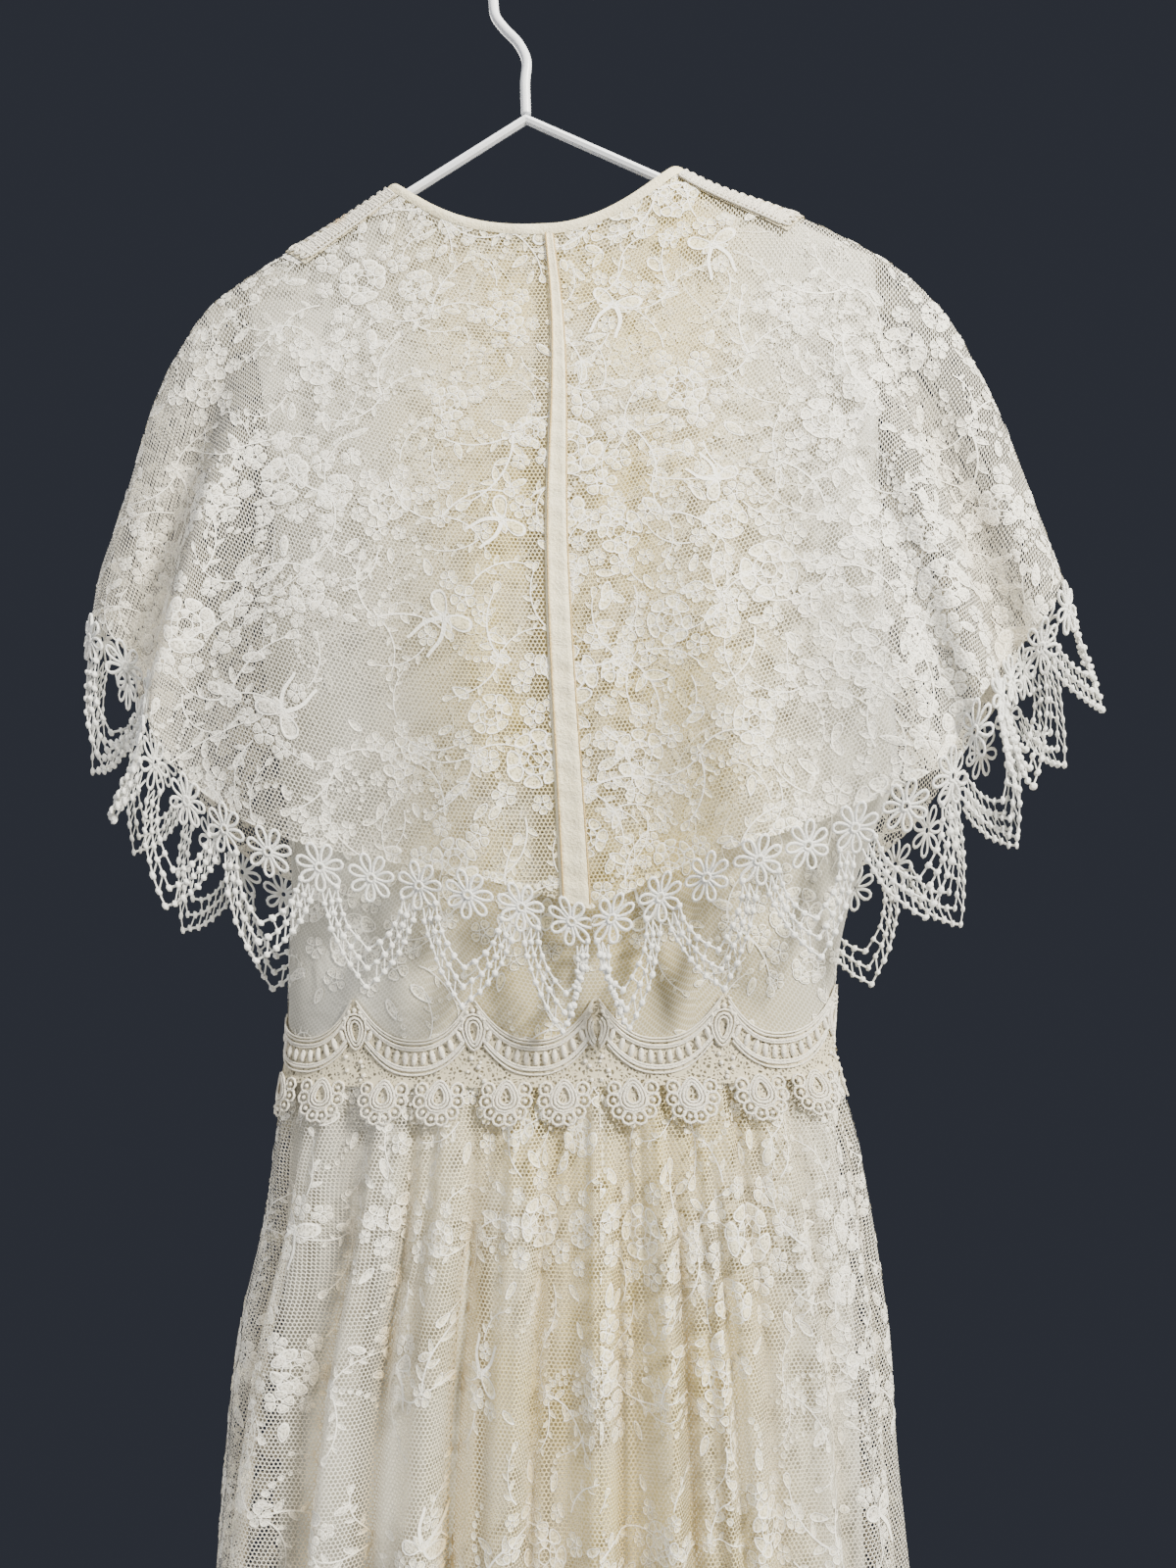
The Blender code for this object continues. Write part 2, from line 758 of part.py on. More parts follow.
def strips(face, stations_of):
    """Names and signed lengths of a trim's strips: behind, it is cut at the middle seam."""
    left = stations_of(face, 1)
    right = [-length for length in reversed(stations_of(face, -1))]
    if face == "front":
        return [(face, right + left[1:])]
    return [("back_left", left), ("back_right", right)]


def trim(name, tone, face, stations, surface, table, first, repeat, lift, gaps):
    """A strip of guipure: lines of a table below a base line, at stations along it."""
    lines = table[0]._fields[1:]
    seam = 0 if stations[0] < 0 < stations[-1] else side_of(sum(stations))

    def place(i, j, layer):
        length = stations[i]
        below = through(table, lines[j], phase_in(length, first, repeat))
        low, high = max(length - TRIM_STEP, stations[0]), min(length + TRIM_STEP, stations[-1])
        run = surface(high, below) - surface(low, below)
        fall = surface(length, below + TRIM_STEP) - surface(length, below - TRIM_STEP)
        out = run.cross(fall).normalized() * outward(face)
        point = surface(length, below) + out * (lift + TRIM_WALL * (1 - layer))
        return at_seam(face, seam, point)

    object_from(slab(len(stations), len(lines), place, gaps), name, tone, DRESS)


def make_trims(face):
    """The edging along the capelet's hem and the band over the waist, on one face."""
    surface = functools.partial(edging_point, face)
    for name, stations in strips(face, edging_stations):
        gaps = edging_gaps(stations)
        name = f"cape_edging_{name}"
        trim(name, "guipure", face, stations, surface, EDGING, FIRST_DAISY, REPEAT, -TRIM_WALL / 2, gaps)
    surface = functools.partial(band_point, face)
    for name, stations in strips(face, band_stations):
        gaps = band_gaps(stations)
        name = f"waist_band_{name}"
        trim(name, "band", face, stations, surface, WAIST_BAND, 0, SWAG, BAND_LIFT, gaps)


def make_skirts():
    lace_columns = skirt_columns(4)
    lining_columns = skirt_columns(2)
    for side in (1, -1):
        surface = functools.partial(lace_skirt, "back")
        columns = [side * place for place in lace_columns]
        cloth(f"skirt_back_{side_name(side)}", "lace", "back", side, surface, columns, SKIRT_ROWS)
        surface = functools.partial(lining_skirt, "back")
        columns = [side * place for place in lining_columns]
        cloth(f"lining_back_{side_name(side)}", "lining", "back", side, surface, columns, LINING_ROWS)
    surface = functools.partial(lace_skirt, "front")
    cloth("skirt_front", "lace", "front", 0, surface, both_sides(lace_columns), SKIRT_ROWS)
    surface = functools.partial(lining_skirt, "front")
    cloth("lining_front", "lining", "front", 0, surface, both_sides(lining_columns), LINING_ROWS)


def make_zip_lap():
    surface = functools.partial(cape_cloth, "back")
    rows = CAPE_ROWS[1:]
    cloth("zip_lap", "bodice", "back", 1, surface, LAP_COLUMNS, rows, lift=LAYER_GAP)


def make_neck_binding():
    """A bound edge over the capelet's neck: two pieces behind and one before."""
    for side in (1, -1):
        columns = [side * place for place in CAPE_COLUMNS]
        surface = functools.partial(cape_cloth, "back")
        name = f"neck_binding_back_{side_name(side)}"
        cloth(name, "bodice", "back", side, surface, columns, BINDING_ROWS, lift=LAYER_GAP)
    surface = functools.partial(cape_cloth, "front")
    columns = both_sides(CAPE_COLUMNS)
    cloth("neck_binding_front", "bodice", "front", 0, surface, columns, BINDING_ROWS, lift=LAYER_GAP)


def make_shoulder_trims():
    """Guipure over each shoulder seam, a half behind it and a half before it."""
    for side in (1, -1):
        for face in ("back", "front"):
            columns = [side * place for place in SHOULDER_COLUMNS]
            surface = functools.partial(cape_cloth, face)
            rows = (SHOULDER_ROWS[0] + 0.004,) + SHOULDER_ROWS[1:]
            name = f"shoulder_trim_{face}_{side_name(side)}"
            cloth(name, "band", face, side, surface, columns, rows, lift=LAYER_GAP)


def wire(name, points):
    curve = bpy.data.curves.new(name, "CURVE")
    curve.dimensions = "3D"
    curve.bevel_depth = WIRE_RADIUS
    curve.bevel_resolution = 2
    curve.use_fill_caps = True
    spline = curve.splines.new("POLY")
    spline.points.add(len(points) - 1)
    for target, (x, z) in zip(spline.points, points):
        target.co = (x, 0, z, 1)
    curve.materials.append(material("wire"))
    DRESS.objects.link(bpy.data.objects.new(name, curve))


def arc(centre, radius, first, last, count):
    angles = np.radians(np.linspace(first, last, count))
    return [(centre[0] + radius * math.cos(a), centre[1] + radius * math.sin(a)) for a in angles]


Stem = namedtuple("Stem", "x z")
# The hook's bent stem, from just above the arms up to where its round part begins
HOOK_STEM = (
    Stem(VERTEX[0], -VERTEX[1] + WIRE_RADIUS + LAYER_GAP),
    Stem(0.0105, -0.074),
    Stem(0.0095, -0.0625),
    Stem(0.0135, -0.053),
    Stem(0.0200, -0.0455),
    Stem(0.0250, -0.038),
)
HOOK_FROM = -12
HOOK_TO = 195
HOOK_STEPS = 15
CORNER_STEPS = 8


def make_hanger():
    """Two slanting arms, the lower bar with its round ends, and the hook."""
    round_part = arc((0.0, -HOOK_TOP_DROP), HOOK_RADIUS, HOOK_FROM, HOOK_TO, HOOK_STEPS)
    wire("hanger_hook", list(HOOK_STEM) + round_part)
    wire("hanger_arms", [arm_end(1), (VERTEX[0], -VERTEX[1]), arm_end(-1)])
    wire("hanger_bar", corner(1) + corner(-1)[::-1])


def arm_end(side):
    reach, slope = (LEFT_REACH, LEFT_SLOPE) if side > 0 else (RIGHT_REACH, RIGHT_SLOPE)
    return (VERTEX[0] + side * reach, -VERTEX[1] - slope * reach)


def corner(side):
    """The round end between an arm and the lower bar, starting just past the arm."""
    slope = LEFT_SLOPE if side > 0 else RIGHT_SLOPE
    x, z = arm_end(side)
    lean = math.atan(slope)
    run = (side * math.cos(lean), -math.sin(lean))
    start = (x + run[0] * WELD_GAP, z + run[1] * WELD_GAP)
    centre = (start[0] - side * BAR_CORNER * math.sin(lean), start[1] - BAR_CORNER * math.cos(lean))
    first = 90 - math.degrees(lean)
    points = arc(centre, BAR_CORNER, first, -90, CORNER_STEPS)
    if side < 0:
        points = [(2 * centre[0] - px, pz) for px, pz in points]
    return points


def start_scene():
    for old in list(bpy.data.objects):
        bpy.data.objects.remove(old, do_unlink=True)
    made = bpy.data.collections.new("wedding_dress")
    bpy.context.scene.collection.children.link(made)
    return made


DRESS = start_scene()


def main():
    make_hanger()
    make_bodice()
    make_cape()
    for face in ("back", "front"):
        make_trims(face)
    make_skirts()
    make_zip_lap()
    make_neck_binding()
    make_shoulder_trims()


main()
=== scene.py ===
"""Finish of a lace wedding dress with a capelet, on its coated wire hanger.

Metres, +Z up, the origin inside the hook's top. The back faces +Y and the wearer's left is
+X. A drop is a distance below the origin. Cloth is a grid of points over a surface; lace,
cords and beads are drawn flat and laid on that grid.
"""

import math
import random
from collections import namedtuple
from functools import cache

import bmesh
import bpy
import numpy as np
from mathutils import Matrix, Vector


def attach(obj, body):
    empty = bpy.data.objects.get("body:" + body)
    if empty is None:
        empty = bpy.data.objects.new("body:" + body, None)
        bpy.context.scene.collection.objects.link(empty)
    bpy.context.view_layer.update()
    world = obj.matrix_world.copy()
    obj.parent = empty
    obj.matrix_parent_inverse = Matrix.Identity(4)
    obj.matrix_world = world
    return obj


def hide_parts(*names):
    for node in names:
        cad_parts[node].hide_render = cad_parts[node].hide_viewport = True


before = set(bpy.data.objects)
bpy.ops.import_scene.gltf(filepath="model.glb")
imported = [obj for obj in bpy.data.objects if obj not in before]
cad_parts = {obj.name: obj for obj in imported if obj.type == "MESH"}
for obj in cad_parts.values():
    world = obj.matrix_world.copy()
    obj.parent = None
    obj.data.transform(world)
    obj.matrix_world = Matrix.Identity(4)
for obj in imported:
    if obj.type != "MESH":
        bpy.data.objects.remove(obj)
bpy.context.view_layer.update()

bl_info = {
    "name": "Lace wedding dress",
    "version": (1, 0, 0),
    "blender": (4, 5, 0),
    "location": "3D View > Sidebar > Lace Dress",
    "description": "Builds the cloth, lace and guipure of a wedding dress on its hanger",
    "category": "Object",
}

BODY = "root"
MM = 0.001

# Sizes of the cut

OVAL_POWER = 2.5
NECK_BACK_DROP = 0.1565
NECK_FRONT_DROP = 0.200
NECK_CURVE = {("back", 1): 2.6, ("back", -1): 1.9, ("front", 1): 2.2, ("front", -1): 2.2}
CENTRE_FRONT = 0.005
RIDGE_STEP = 0.0021
UNDERARM_DROP = 0.359
ARMHOLE_HALF = 0.024
ARMHOLE_ROUND = 1.3
WAIST_DROP = 0.578
SKIRT_TOP_DROP = 0.5785
SKIRT_HEM_DROP = 1.608
LINING_HEM_DROP = 1.585
GATHERS = 20
FRONT_GATHER_SHARE = 0.8
GATHER_MEAN = 0.72
GATHER_SWELL = 0.28
GATHER_SHIFT = 0.6
LOOSENESS = {"back": 0.0055, "front": 0.0045}
LOOSE_FROM = 0.13
LOOSE_IN_FULL = 0.24
FOLD_START = 0.25
FOLD_FADE = 12
REPEAT = 0.050
FIRST_DAISY = 0.035
CLOTH_ABOVE_DAISIES = 0.0085
SWAG_SWING = 0.35
SWING_STEP = 0.01
SWAG = 0.060
BAND_LIFT = 0.0009
WIRE_RADIUS = 0.00255
HOOK_RADIUS = 0.0265

Strand = namedtuple("Strand", "top_x top_below tip_below beads")
# Half of a swag, in millimetres from its daisy: where each string of beads starts and ends
STRANDS = (Strand(8.6, 7.5, 34, 5), Strand(5.2, 9.0, 43, 7), Strand(1.8, 10.5, 52, 8))

Section = namedtuple("Section", "drop left right back front gather")
# The dress round the body: side places, half depths behind and before, depth of the gathers
TORSO = (
    Section(0.125, 0.1580, -0.1650, 0.0140, 0.0140, 0.0),
    Section(0.160, 0.1580, -0.1650, 0.0145, 0.0150, 0.0),
    Section(0.185, 0.1570, -0.1645, 0.0165, 0.0170, 0.0),
    Section(0.230, 0.1470, -0.1610, 0.0250, 0.0240, 0.0),
    Section(0.300, 0.1410, -0.1590, 0.0380, 0.0330, 0.0),
    Section(0.359, 0.1535, -0.1640, 0.0460, 0.0370, 0.0),
    Section(0.400, 0.1490, -0.1665, 0.0475, 0.0375, 0.0),
    Section(0.437, 0.1440, -0.1660, 0.0460, 0.0375, 0.0),
    Section(0.475, 0.1415, -0.1500, 0.0425, 0.0370, 0.0),
    Section(0.530, 0.1445, -0.1345, 0.0355, 0.0350, 0.0),
    Section(0.578, 0.1470, -0.1310, 0.0310, 0.0310, 0.0012),
    Section(0.617, 0.1525, -0.1390, 0.0360, 0.0310, 0.0030),
    Section(0.651, 0.1565, -0.1435, 0.0410, 0.0320, 0.0045),
    Section(0.704, 0.1690, -0.1490, 0.0490, 0.0330, 0.0058),
    Section(0.780, 0.1795, -0.1520, 0.0580, 0.0340, 0.0065),
    Section(0.819, 0.1830, -0.1545, 0.0630, 0.0350, 0.0070),
    Section(1.200, 0.2220, -0.1960, 0.0880, 0.0360, 0.0080),
    Section(1.608, 0.2600, -0.2360, 0.1050, 0.0370, 0.0085),
)
LINING = (
    Section(0.5785, 0.1440, -0.1280, 0.0280, 0.0280, 0.0002),
    Section(0.704, 0.1500, -0.1360, 0.0380, 0.0240, 0.0015),
    Section(0.819, 0.1550, -0.1370, 0.0480, 0.0240, 0.0020),
    Section(1.200, 0.1750, -0.1600, 0.0640, 0.0240, 0.0030),
    Section(1.585, 0.1950, -0.1800, 0.0740, 0.0240, 0.0040),
)

Line = namedtuple("Line", "drop x")
CENTRE_BACK = (
    Line(0.1565, -0.0025),
    Line(0.205, -0.0075),
    Line(0.326, -0.0085),
    Line(0.505, -0.0145),
    Line(0.668, -0.0135),
    Line(0.804, -0.0105),
    Line(1.608, 0.0020),
)

Outline = namedtuple("Outline", "drop left right")
CAPE_SIDE = (
    Outline(0.1250, 0.0795, -0.0665),
    Outline(0.1375, 0.1015, -0.0900),
    Outline(0.1500, 0.1245, -0.1215),
    Outline(0.1645, 0.1510, -0.1500),
    Outline(0.1800, 0.1755, -0.1745),
    Outline(0.2060, 0.1960, -0.1990),
    Outline(0.2350, 0.2100, -0.2140),
    Outline(0.2630, 0.2190, -0.2255),
    Outline(0.2930, 0.2285, -0.2355),
    Outline(0.3220, 0.2390, -0.2445),
    Outline(0.3500, 0.2440, -0.2530),
)

Hem = namedtuple("Hem", "x drop")
CAPE_HEM = {
    ("back", 1): (
        Hem(-0.0145, 0.505),
        Hem(0.0455, 0.487),
        Hem(0.0925, 0.479),
        Hem(0.1390, 0.465),
        Hem(0.1695, 0.448),
        Hem(0.1875, 0.433),
        Hem(0.2025, 0.390),
        Hem(0.2185, 0.372),
        Hem(0.2440, 0.350),
    ),
    ("back", -1): (
        Hem(-0.0145, 0.505),
        Hem(-0.0465, 0.492),
        Hem(-0.0805, 0.4785),
        Hem(-0.1230, 0.467),
        Hem(-0.1505, 0.457),
        Hem(-0.1815, 0.440),
        Hem(-0.1985, 0.411),
        Hem(-0.2285, 0.384),
        Hem(-0.2530, 0.350),
    ),
    ("front", 1): (
        Hem(0.005, 0.525),
        Hem(0.070, 0.521),
        Hem(0.130, 0.503),
        Hem(0.1755, 0.483),
        Hem(0.200, 0.452),
        Hem(0.218, 0.418),
        Hem(0.244, 0.350),
    ),
    ("front", -1): (
        Hem(0.005, 0.525),
        Hem(-0.070, 0.521),
        Hem(-0.130, 0.505),
        Hem(-0.170, 0.485),
        Hem(-0.197, 0.454),
        Hem(-0.220, 0.420),
        Hem(-0.253, 0.350),
    ),
}

Fold = namedtuple("Fold", "across width height")
CAPE_FOLDS = {
    ("back", 1): (
        Fold(0.17, 0.07, 0.007),
        Fold(0.33, 0.06, -0.003),
        Fold(0.50, 0.08, 0.005),
        Fold(0.75, 0.06, 0.014),
        Fold(0.86, 0.05, -0.020),
    ),
    ("back", -1): (
        Fold(0.12, 0.05, -0.003),
        Fold(0.27, 0.07, 0.008),
        Fold(0.42, 0.05, -0.003),
        Fold(0.58, 0.07, 0.006),
        Fold(0.72, 0.05, 0.012),
        Fold(0.83, 0.05, -0.018),
    ),
    ("front", 1): (Fold(0.25, 0.10, -0.006), Fold(0.62, 0.08, -0.008), Fold(0.84, 0.06, -0.014)),
    ("front", -1): (Fold(0.30, 0.10, -0.006), Fold(0.60, 0.08, -0.008), Fold(0.83, 0.06, -0.014)),
}


Crease = namedtuple("Crease", "part drift width depth")
# Deeper folds among the skirt's gathers: place along a quarter at the waist, drift to the hem
CREASES = {
    ("back", 1): (
        Crease(0.15, 0.03, 0.030, 0.0090),
        Crease(0.34, -0.03, 0.036, 0.0120),
        Crease(0.52, 0.02, 0.040, 0.0045),
        Crease(0.66, 0.01, 0.050, 0.0065),
        Crease(0.86, 0.01, 0.045, 0.0055),
    ),
    ("back", -1): (
        Crease(0.05, 0.03, 0.028, 0.0055),
        Crease(0.25, 0.01, 0.030, 0.0085),
        Crease(0.38, 0.05, 0.034, 0.0090),
        Crease(0.58, 0.02, 0.045, 0.0050),
        Crease(0.80, 0.02, 0.045, 0.0070),
    ),
    ("front", 1): (
        Crease(0.12, 0.02, 0.040, 0.0060),
        Crease(0.36, -0.02, 0.040, 0.0070),
        Crease(0.62, 0.02, 0.045, 0.0060),
        Crease(0.84, 0.0, 0.045, 0.0050),
    ),
    ("front", -1): (
        Crease(0.18, -0.02, 0.040, 0.0065),
        Crease(0.44, 0.03, 0.040, 0.0060),
        Crease(0.70, 0.01, 0.045, 0.0070),
        Crease(0.90, 0.0, 0.045, 0.0045),
    ),
}
CREASES_IN_FULL = 0.70
LINING_CREASE_SHARE = 0.45


# Places on the cloth

def through(rows, column, place):
    """A smooth curve through one column of a table, read at places in its first column."""
    keys = np.array([row[0] for row in rows], float)
    values = np.array([getattr(row, column) for row in rows], float)
    slopes = np.gradient(values, keys)
    place = np.clip(place, keys[0], keys[-1])
    i = np.clip(np.searchsorted(keys, place) - 1, 0, len(keys) - 2)
    step = keys[i + 1] - keys[i]
    s = (place - keys[i]) / step
    start = (1 + 2 * s) * (1 - s) ** 2 * values[i] + s * (1 - s) ** 2 * step * slopes[i]
    return start + s * s * (3 - 2 * s) * values[i + 1] + s * s * (s - 1) * step * slopes[i + 1]


def side_name(side):
    return "left" if side > 0 else "right"


def outward(face):
    return 1 if face == "back" else -1


def centre_x(face, drop):
    if face == "back":
        return through(CENTRE_BACK, "x", drop)
    return np.full(np.shape(drop), CENTRE_FRONT)


def oval(share):
    return (1 - np.clip(share, 0, 1) ** OVAL_POWER) ** (1 / OVAL_POWER)


def ease(value, low, high):
    share = np.clip((value - low) / (high - low), 0, 1)
    return share * share * (3 - 2 * share)


def ridge_x(side, drop):
    return through(CAPE_SIDE, side_name(side), drop)


def ridge_drop(side, x):
    drops = np.linspace(CAPE_SIDE[0].drop, CAPE_SIDE[-1].drop, 400)
    return np.interp(side * x, side * ridge_x(side, drops), drops)


def neck_drop(face, side, share):
    deep = NECK_BACK_DROP if face == "back" else NECK_FRONT_DROP
    return deep - (deep - CAPE_SIDE[0].drop) * np.clip(share, 0, 1) ** NECK_CURVE[face, side]


def neck_x(side):
    return getattr(CAPE_SIDE[0], side_name(side))


def tip_x(side):
    return getattr(TORSO[0], side_name(side))


def bodice(face, side, share, down):
    """The bodice: share 0 is the centre line and 1 the side; down 0 is the top, 1 the waist."""
    middle = centre_x(face, NECK_BACK_DROP)
    x = middle + share * (tip_x(side) - middle)
    from_neck = (x - middle) / (neck_x(side) - middle)
    top = np.where(from_neck < 1, neck_drop(face, side, from_neck), ridge_drop(side, x)) + RIDGE_STEP
    drop = top + down * (WAIST_DROP - top)
    middle = centre_x(face, drop)
    x = middle + share * (through(TORSO, side_name(side), drop) - middle)
    depth = through(TORSO, face, drop)
    tip = ridge_drop(side, tip_x(side)) + RIDGE_STEP
    edge = ridge_x(side, drop - RIDGE_STEP)
    shoulder = depth * oval((x - middle) / (edge - middle))
    open_share = np.clip((drop - tip) / (UNDERARM_DROP - tip), 0, 1)
    half = ARMHOLE_HALF * np.sin(math.pi * open_share) ** ARMHOLE_ROUND
    body = half + (depth - half) * oval(share)
    y = outward(face) * np.where(drop < tip, shoulder, body)
    return np.stack([x, y, -drop], axis=-1)


def along(points):
    steps = np.linalg.norm(np.diff(np.asarray(points), axis=0), axis=1)
    total = np.concatenate([[0], np.cumsum(steps)])
    return total / total[-1]


@cache
def cape_side_table(side):
    drops = np.linspace(CAPE_SIDE[0].drop, CAPE_SIDE[-1].drop, 80)
    return along(np.stack([ridge_x(side, drops), drops], axis=1)), drops


KeyedHem = namedtuple("KeyedHem", "share x drop")


@cache
def keyed_hem(face, side):
    rows = CAPE_HEM[face, side]
    places = along([(row.x, row.drop) for row in rows])
    return tuple(KeyedHem(place, *row) for place, row in zip(places, rows))


def cape_hem(face, side, share):
    rows = keyed_hem(face, side)
    return np.stack([through(rows, "x", share), through(rows, "drop", share)], axis=-1)


def cape_neck(face, side, share):
    middle = centre_x(face, NECK_BACK_DROP)
    return np.stack([middle + share * (neck_x(side) - middle), neck_drop(face, side, share)], axis=-1)


def cape(face, side, share, down, folded=1.0):
    """The capelet, blended between its centre line, its side, its neck and its hem."""
    share, down = np.broadcast_arrays(np.asarray(share, float), np.asarray(down, float))
    s, d = share[..., None], down[..., None]
    zero, one = np.zeros_like(share), np.ones_like(share)
    corner = (
        (1 - s) * (1 - d) * cape_neck(face, side, zero)
        + s * (1 - d) * cape_neck(face, side, one)
        + (1 - s) * d * cape_hem(face, side, zero)
        + s * d * cape_hem(face, side, one)
    )
    top = neck_drop(face, side, zero)
    centre = top + down * (CAPE_HEM[face, 1][0].drop - top)
    centre = np.stack([centre_x(face, centre), centre], axis=-1)
    places, drops = cape_side_table(side)
    drop = np.interp(down, places, drops)
    edge = np.stack([ridge_x(side, drop), drop], axis=-1)
    across = (1 - s) * centre + s * edge
    upright = (1 - d) * cape_neck(face, side, share) + d * cape_hem(face, side, share)
    x, drop = np.moveaxis(across + upright - corner, -1, 0)
    middle = centre_x(face, drop)
    loose = LOOSENESS[face] * ease(drop, LOOSE_FROM, LOOSE_IN_FULL)
    depth = through(TORSO, face, drop) + RIDGE_STEP + loose
    depth = depth * oval((x - middle) / (ridge_x(side, drop) - middle))
    folds = sum(
        fold.height * np.exp(-(((share - fold.across) / fold.width) ** 2))
        for fold in CAPE_FOLDS[face, side]
    )
    depth = depth + folded * folds * ease(down, FOLD_START, 1.0) * (1 - share**FOLD_FADE)
    return np.stack([x, outward(face) * depth, -drop], axis=-1)


def cape_length(face, side, share):
    downs = np.linspace(0, 1, 9)
    points = cape(face, side, np.asarray(share)[..., None], downs)
    return np.linalg.norm(np.diff(points, axis=-2), axis=-1).sum(axis=-1)


def cape_cloth(face, side, share, down, folded=1.0):
    """The capelet's net, which ends behind the daisies of its edging."""
    return cape(face, side, share, down * (1 - CLOTH_ABOVE_DAISIES / cape_length(face, side, share)), folded)


def plain_cape(face, side, share, down):
    return cape_cloth(face, side, share, down, 0.0)


def gather_wave(turn):
    slow = np.cos(4 * math.pi * turn + GATHER_SHIFT) * np.cos(6 * math.pi * turn)
    return (GATHER_MEAN + GATHER_SWELL * slow) * np.cos(2 * math.pi * GATHERS * turn)


def fine_pleats(turn, drop):
    """Narrow uneven pleats below the waist seam, between the large gathers."""
    fade = np.exp(-np.clip(drop - WAIST_DROP, 0, 1) / 0.16)
    wave = np.sin(2 * math.pi * 53 * turn + 1.3 * np.sin(2 * math.pi * 7 * turn))
    wave = wave + 0.6 * np.sin(2 * math.pi * 81 * turn + 4 * np.sin(2 * math.pi * 3 * turn))
    return 0.0011 * wave * (0.25 + 0.75 * fade) * ease(drop, WAIST_DROP, WAIST_DROP + 0.02)


def crease_depth(crease, part, drop):
    """A trough with a low ridge to either side."""
    middle = crease.part + crease.drift * (drop - WAIST_DROP)
    away = (part - middle) / crease.width
    return crease.depth * (0.55 * np.exp(-((away / 2) ** 2)) - 1.35 * np.exp(-((1.35 * away) ** 2)))


@cache
def quarter_table(half_width, half_depth):
    shares = np.sin(np.linspace(0, math.pi / 2, 40))
    return along(np.stack([half_width * shares, half_depth * oval(shares)], axis=1)), shares


def quarter_share(half_width, half_depth, part):
    places, shares = quarter_table(round(float(half_width), 6), round(float(half_depth), 6))
    return np.interp(part, places, shares)


def skirt_row(rows, face, side, part, drop, waves):
    """One level of a skirt: part is a part of the cloth's own length from the centre line."""
    middle = float(centre_x(face, drop))
    reach = float(through(rows, side_name(side), drop)) - middle
    depth = float(through(rows, face, drop))
    share = quarter_share(abs(reach), depth, part)
    turn = side * (part if face == "back" else 2 - part) / 4
    gather = through(rows, "gather", drop) * gather_wave(turn)
    if face == "front":
        gather = gather * FRONT_GATHER_SHARE
    fall = float(ease(drop, WAIST_DROP, CREASES_IN_FULL))
    creases = sum(crease_depth(row, part, drop) for row in CREASES[face, side]) * fall
    if rows is TORSO:
        gather = gather + fine_pleats(turn, drop) + creases
    else:
        gather = gather + creases * LINING_CREASE_SHARE
    base = np.stack([middle + share * reach, outward(face) * depth * oval(share)], axis=-1)
    bulge = np.stack([reach * share**3, outward(face) * abs(reach) * (1 - share**3)], axis=-1)
    bulge /= np.linalg.norm(bulge, axis=-1, keepdims=True)
    flat = base + bulge * np.asarray(gather)[..., None] * waves
    return np.concatenate([flat, np.full(flat.shape[:-1] + (1,), -drop)], axis=-1)


def skirt(rows, hem, waves, face, side, share, down):
    drops = SKIRT_TOP_DROP + down[:, 0] * (hem - SKIRT_TOP_DROP)
    return np.stack([skirt_row(rows, face, side, share[0], drop, waves) for drop in drops])


# Sheets: grids of points over the cloth

# folds: how much painted shade each point gets in the troughs of the folds
Sheet = namedtuple("Sheet", "points normals flat columns rows folds", defaults=(None,))
# Depth of a trough, in metres, over which its painted shade grows from none to full
FOLD_SHADE_SPAN = (-0.002, 0.011)


def normals_of(points, face):
    across = np.gradient(points, axis=1)
    fall = np.gradient(points, axis=0)
    normal = np.cross(across, fall)
    normal /= np.maximum(np.linalg.norm(normal, axis=-1, keepdims=True), 1e-12)
    if np.sum(normal[..., 1]) * outward(face) < 0:
        normal = -normal
    return normal


def sheet_of(surface, face, sides, columns, rows):
    """A grid over a surface, from the right side to the left one, with its flat lengths."""
    parts, places = [], []
    for side in sorted(sides):
        share, down = np.meshgrid(columns, rows)
        points = surface(face, side, share, down)
        signed = side * np.asarray(columns)
        if side < 0:
            points, signed = points[:, ::-1], signed[::-1]
        if parts:
            points, signed = points[:, 1:], signed[1:]
        parts.append(points)
        places.append(signed)
    points, signed = np.concatenate(parts, axis=1), np.concatenate(places)
    run = np.linalg.norm(np.diff(points, axis=1), axis=-1)
    u = np.concatenate([np.zeros((len(rows), 1)), np.cumsum(run, axis=1)], axis=1)
    middle = int(np.argmin(np.abs(signed)))
    u -= u[:, middle : middle + 1]
    fall = np.linalg.norm(np.diff(points, axis=0), axis=-1)
    v = -np.concatenate([np.zeros((1, len(signed))), np.cumsum(fall, axis=0)], axis=0)
    flat = np.stack([u, v], axis=-1)
    return Sheet(points, normals_of(points, face), flat, signed, np.asarray(rows, float))


def with_fold_shade(sheet, base, most=1.0):
    """How much painted shade a gathered sheet gets in its troughs, from 0 on a ridge to most in the deepest fold."""
    relief = np.sum((sheet.points - base.points) * base.normals, axis=-1)
    return sheet._replace(folds=most * ease(-relief, *FOLD_SHADE_SPAN)[..., None])


def blend_at(values, i, j):
    i0 = np.clip(i.astype(int), 0, values.shape[1] - 2)
    j0 = np.clip(j.astype(int), 0, values.shape[0] - 2)
    a, b = (i - i0)[..., None], (j - j0)[..., None]
    top = values[j0, i0] * (1 - a) + values[j0, i0 + 1] * a
    low = values[j0 + 1, i0] * (1 - a) + values[j0 + 1, i0 + 1] * a
    return top * (1 - b) + low * b


def on_sheet(sheet, s, t, height=0.0):
    """Points of a sheet at places across and down, raised off it."""
    i = np.interp(s, sheet.columns, np.arange(len(sheet.columns)))
    j = np.interp(t, sheet.rows, np.arange(len(sheet.rows)))
    points = blend_at(sheet.points, i, j)
    return points + blend_at(sheet.normals, i, j) * np.asarray(height)[..., None]


def fold_shade_at(sheet, s, t):
    if sheet.folds is None:
        return np.zeros(len(s))
    i = np.interp(s, sheet.columns, np.arange(len(sheet.columns)))
    j = np.interp(t, sheet.rows, np.arange(len(sheet.rows)))
    return blend_at(sheet.folds, i, j)[:, 0]


